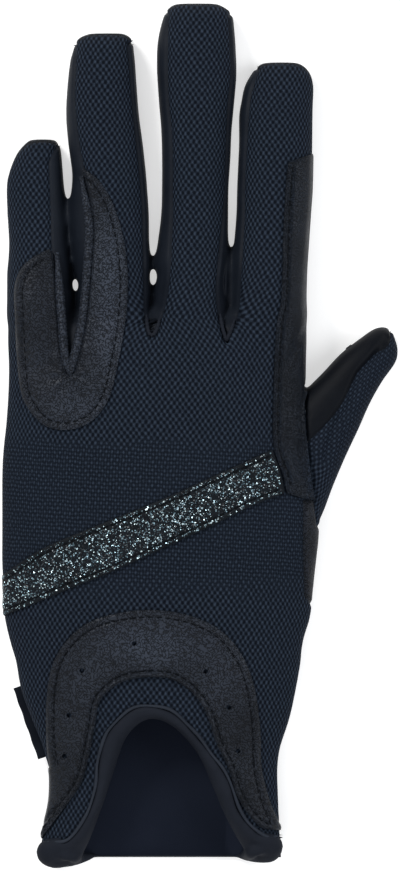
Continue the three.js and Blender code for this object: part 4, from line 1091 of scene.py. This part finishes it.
# %% The thin lip on the roll's outer side
along = np.arange(2, len(lip) - 2)
sway = 0.16 * np.sin(along * 0.385) + 0.1 * np.sin(along * 0.147)
lip_path = np.column_stack([beside(lip, 0.25)[along] + np.outer(sway, (0.5, 1)), lip_height[along] + 0.45])
lip_points, lip_faces = tube(lip_path, 0.42 + sway * 0.3, 10)
piece("binding_lip", lip_points, lip_faces, lip_cloth_highlight, slot="binding_cloth")

# %% [markdown]
# ## Rolled seams in the slits
# Where the slits between the fingers end, the seam allowance rolls up into a small welt that goes round the
# foot of the slit. Beside the rein patch it is thick and ribbed by its stitches.
# %% Welts
WELT_SHEEN = 0.45  # a painted sheen lightens the leather of a welt


def welt(name, line, inward, radius, finish, slot, low, ribs):
    """A rolled seam beside a line: moved inward, set low into the cloth, thinner at both ends and ribbed."""
    line = evenly(line, 0.2)
    height = rolling(height_over(form_points, form_faces, line, FAR), 8) - low
    share = np.linspace(0, 1, len(line))
    taper = np.clip(np.minimum(share, 1 - share) / 0.12, 0.25, 1) ** 0.5
    size = radius * taper * (1 + ribs * np.sin(np.arange(len(line)) * 1.2))
    corners, faces = tube(np.column_stack([beside(line, inward), height]), size, 12)
    piece(name, corners, faces, finish, slot=slot, painted_sheen=np.full(len(corners), WELT_SHEEN))


welt("rein_welt", rein_slit, 1.1, 1.25, leather, "leather", 0.1, 0.07)
FOOT_SLITS = [("welt_ring_middle", "ring_right", "middle_left", 32.5, 31.5),
              ("welt_middle_index", "middle_right", "index_left", 33.0, 31.5)]
for name, left, right, left_top, right_top in FOOT_SLITS:
    going_down = between(smooth_seams[left], 0, left_top)
    going_up = between(smooth_seams[right], 0, right_top)[::-1]
    line = np.vstack([going_down, going_up])
    welt(name, line, 0.5, 0.5, binding_cloth, "strip_leather", 0.35, 0.12)

# %% [markdown]
# ## Tab in the side seam
# A short folded ribbon is caught in the side seam near the wrist, with a soft fold on its outer side.
# %% Folded ribbon
TAB_TOP, TAB_FOOT = np.array([-49.5, -66.8]), np.array([-42.9, -85.6])
TAB_HEIGHT = 4.9
TAB_FOLD = [(3.4, 0.42), (1.6, 0.5), (0.7, 0.62), (0.15, 0.45), (0, 0.0), (0.15, -0.4), (0.7, -0.5),
            (1.6, -0.42), (3.4, -0.4), (3.4, -0.06), (1.2, -0.03), (1.2, 0.03), (3.4, 0.06)]
tab_run = unit(TAB_FOOT - TAB_TOP)
tab_in = np.array([-tab_run[1], tab_run[0]])
tab_rings = []
for k, share in enumerate(np.linspace(0, 1, 26)):
    outer = TAB_TOP + (TAB_FOOT - TAB_TOP) * share
    sway, lift = 0.08 * math.sin(k * 0.9), TAB_HEIGHT + 0.25 * math.sin(k * 0.55)
    ring = [(*(outer + tab_in * (reach + sway)), lift + rise) for reach, rise in TAB_FOLD]
    tab_rings.append(np.array(ring))
piece("glove_side_tab", *loft(tab_rings), ribbon_cloth, node="side_tab", slot="ribbon")

# %% [markdown]
# ## Stitches
# Geometry Nodes lay the stitches: a curve is sampled again at the stitches' spacing, and a small rounded
# stitch is set on each place, turned along the curve. The result is made real and turned into a plain mesh.
# %% A helper for Geometry Nodes
class Tree:
    """A Geometry Nodes tree under construction, with named numbers that made_by() sets for a piece."""

    def __init__(self, name, **numbers):
        self.tree = bpy.data.node_groups.new(name, "GeometryNodeTree")
        sockets = self.tree.interface
        sockets.new_socket("Geometry", in_out="INPUT", socket_type="NodeSocketGeometry")
        self.identifiers = {}
        for key, value in numbers.items():
            kind = "NodeSocketInt" if isinstance(value, int) else "NodeSocketFloat"
            made = sockets.new_socket(key, in_out="INPUT", socket_type=kind)
            made.default_value = value
            self.identifiers[key] = made.identifier
        sockets.new_socket("Geometry", in_out="OUTPUT", socket_type="NodeSocketGeometry")
        self.given = self.tree.nodes.new("NodeGroupInput").outputs
        self.result = self.tree.nodes.new("NodeGroupOutput").inputs[0]

    def add(self, kind, inputs=None, **settings):
        return node_in(self.tree, kind, inputs, settings)

    def chance(self, kind, low, high, seed):
        """A random number or vector for each place, from a fixed seed."""
        least, most, result = {"FLOAT_VECTOR": (0, 1, 0), "FLOAT": (2, 3, 1)}[kind]
        made = self.add("FunctionNodeRandomValue", {least: low, most: high, "Seed": seed}, data_type=kind)
        return made.outputs[result]

    def finish(self, geometry, material):
        real = self.add("GeometryNodeRealizeInstances", {"Geometry": geometry})
        dressed = self.add("GeometryNodeSetMaterial", {"Geometry": real.outputs[0], "Material": material})
        self.tree.links.new(dressed.outputs[0], self.result)


def made_by(tree, name, source, slot, **numbers):
    """Runs a tree on a source object and keeps the result as a plain mesh piece."""
    work = source.modifiers.new(name, "NODES")
    work.node_group = tree.tree
    for key, value in numbers.items():
        work[tree.identifiers[key]] = value
    mesh = bpy.data.meshes.new_from_object(source.evaluated_get(bpy.context.evaluated_depsgraph_get()))
    bpy.data.objects.remove(source)
    keep(name, mesh, slot)


# %% Rows of stitches
stitching = Tree("stitches", Spacing=0.0, Length=0.0, Thickness=0.0)
row = stitching.add("GeometryNodeResampleCurve", {"Curve": stitching.given["Geometry"],
                                                  "Length": stitching.given["Spacing"]}, mode="LENGTH")
tangent = stitching.add("GeometryNodeInputTangent").outputs[0]
turned = stitching.add("FunctionNodeAlignRotationToVector", {"Vector": tangent}, axis="X").outputs[0]
bead = stitching.add("GeometryNodeMeshUVSphere", {"Segments": 7, "Rings": 5, "Radius": 0.5}).outputs["Mesh"]
size = stitching.add("ShaderNodeCombineXYZ", {
    "X": stitching.given["Length"], "Y": stitching.given["Thickness"],
    "Z": stitching.given["Thickness"]}).outputs[0]
placed = stitching.add("GeometryNodeInstanceOnPoints", {"Points": row.outputs[0], "Instance": bead,
                                                        "Rotation": turned, "Scale": size}).outputs[0]
stitching.finish(stitching.add("GeometryNodeSetShadeSmooth", {"Geometry": placed}).outputs[0], thread)


def curves(name, paths):
    """One curve object with a straight-sided line for each path."""
    curve = bpy.data.curves.new(name, "CURVE")
    curve.dimensions = "3D"
    for path in paths:
        spline = curve.splines.new("POLY")
        spline.points.add(len(path) - 1)
        spline.points.foreach_set("co", np.column_stack([path * MM, np.ones(len(path))]).ravel())
    return set_out(name, curve)


THREAD_LIFT = 0.12  # how far a stitch's middle lies above the leather
thread_paths = []
for line, (top_points, top_faces) in thread_rows:
    height = height_over(top_points, top_faces, line, 0)
    thread_paths.append(np.column_stack([line, height + THREAD_LIFT])[height > 0])
made_by(stitching, "stitches", curves("thread_paths", thread_paths), "leather",
        Spacing=2.3 * MM, Length=1.75 * MM, Thickness=0.34 * MM)

# %% [markdown]
# ## Glitter
# The band is coated with tiny flakes that lie at all angles, and each one catches the light on its own. They
# are scattered over the band's top with a fixed seed, and each flake keeps a random shade for its finish. That
# shade paints most flakes near black and a few near white: painted glints on top of the flakes' own tones.
# %% Flakes of glitter
def flake_finish():
    look = Finish("glitter_flakes", Metallic=0.55, Roughness=0.3)
    shade = look.add("Attribute", attribute_name="shade").outputs["Fac"]
    # Most flakes get a near-black colour and a few get a near-white one: painted glints, besides the flakes'
    # own silver and teal.
    return look.done(look.ramp(
        shade, (0.0, (0.002, 0.003, 0.005)), (0.6, (0.008, 0.012, 0.016)), (0.74, (0.045, 0.078, 0.1)),
        (0.88, (0.26, 0.4, 0.47)), (1.0, (0.78, 0.96, 1))))


scatter = Tree("glitter", Density=0.0, Size=0.0, Seed=0)
spots = scatter.add("GeometryNodeDistributePointsOnFaces", {
    "Mesh": scatter.given["Geometry"], "Density": scatter.given["Density"], "Seed": scatter.given["Seed"]})
tilt = scatter.chance("FLOAT_VECTOR", (-0.5, -0.5, -3), (0.5, 0.5, 3), 7)
tilted = scatter.add("FunctionNodeRotateRotation", {
    "Rotation": spots.outputs["Rotation"], "Rotate By": tilt}, rotation_space="LOCAL").outputs[0]
flake = scatter.add("GeometryNodeMeshCylinder", {
    "Vertices": 4, "Radius": 1.0, "Depth": 0.35}).outputs["Mesh"]
size = scatter.add("ShaderNodeMath", {
    0: scatter.chance("FLOAT", 0.6, 1.35, 11), 1: scatter.given["Size"]}, operation="MULTIPLY").outputs[0]
laid = scatter.add("GeometryNodeInstanceOnPoints", {
    "Points": spots.outputs["Points"], "Instance": flake, "Rotation": tilted, "Scale": size}).outputs[0]
shaded = scatter.add("GeometryNodeStoreNamedAttribute", {
    "Geometry": laid, "Name": "shade", "Value": scatter.chance("FLOAT", 0.0, 1.0, 23)},
    data_type="FLOAT", domain="INSTANCE").outputs[0]
scatter.finish(shaded, flake_finish())

p, f = band_skin
middle = p[f].mean(1)
coated = (normals_of(p, f)[f].mean(1)[:, 2] > 0.1) & (inside(middle, band_outline) > 0.35)
coated &= np.min([to_line(middle, row) for row in band_rows], 0) > 0.3
p, f, _ = only(p, f, coated)
ground = bpy.data.meshes.new("band_top")
ground.from_pydata((p * MM).tolist(), [], f.tolist())
made_by(scatter, "glitter_flakes", set_out("band_top", ground), "glitter",
        Density=7.5e6, Size=0.2 * MM, Seed=4)

# %% [markdown]
# ## Finish
# The dressed glove has to stay the size of the plain model. The picture is shown with the plain Standard view
# transform.
# %% Standard view transform
bpy.context.scene.view_settings.view_transform = "Standard"
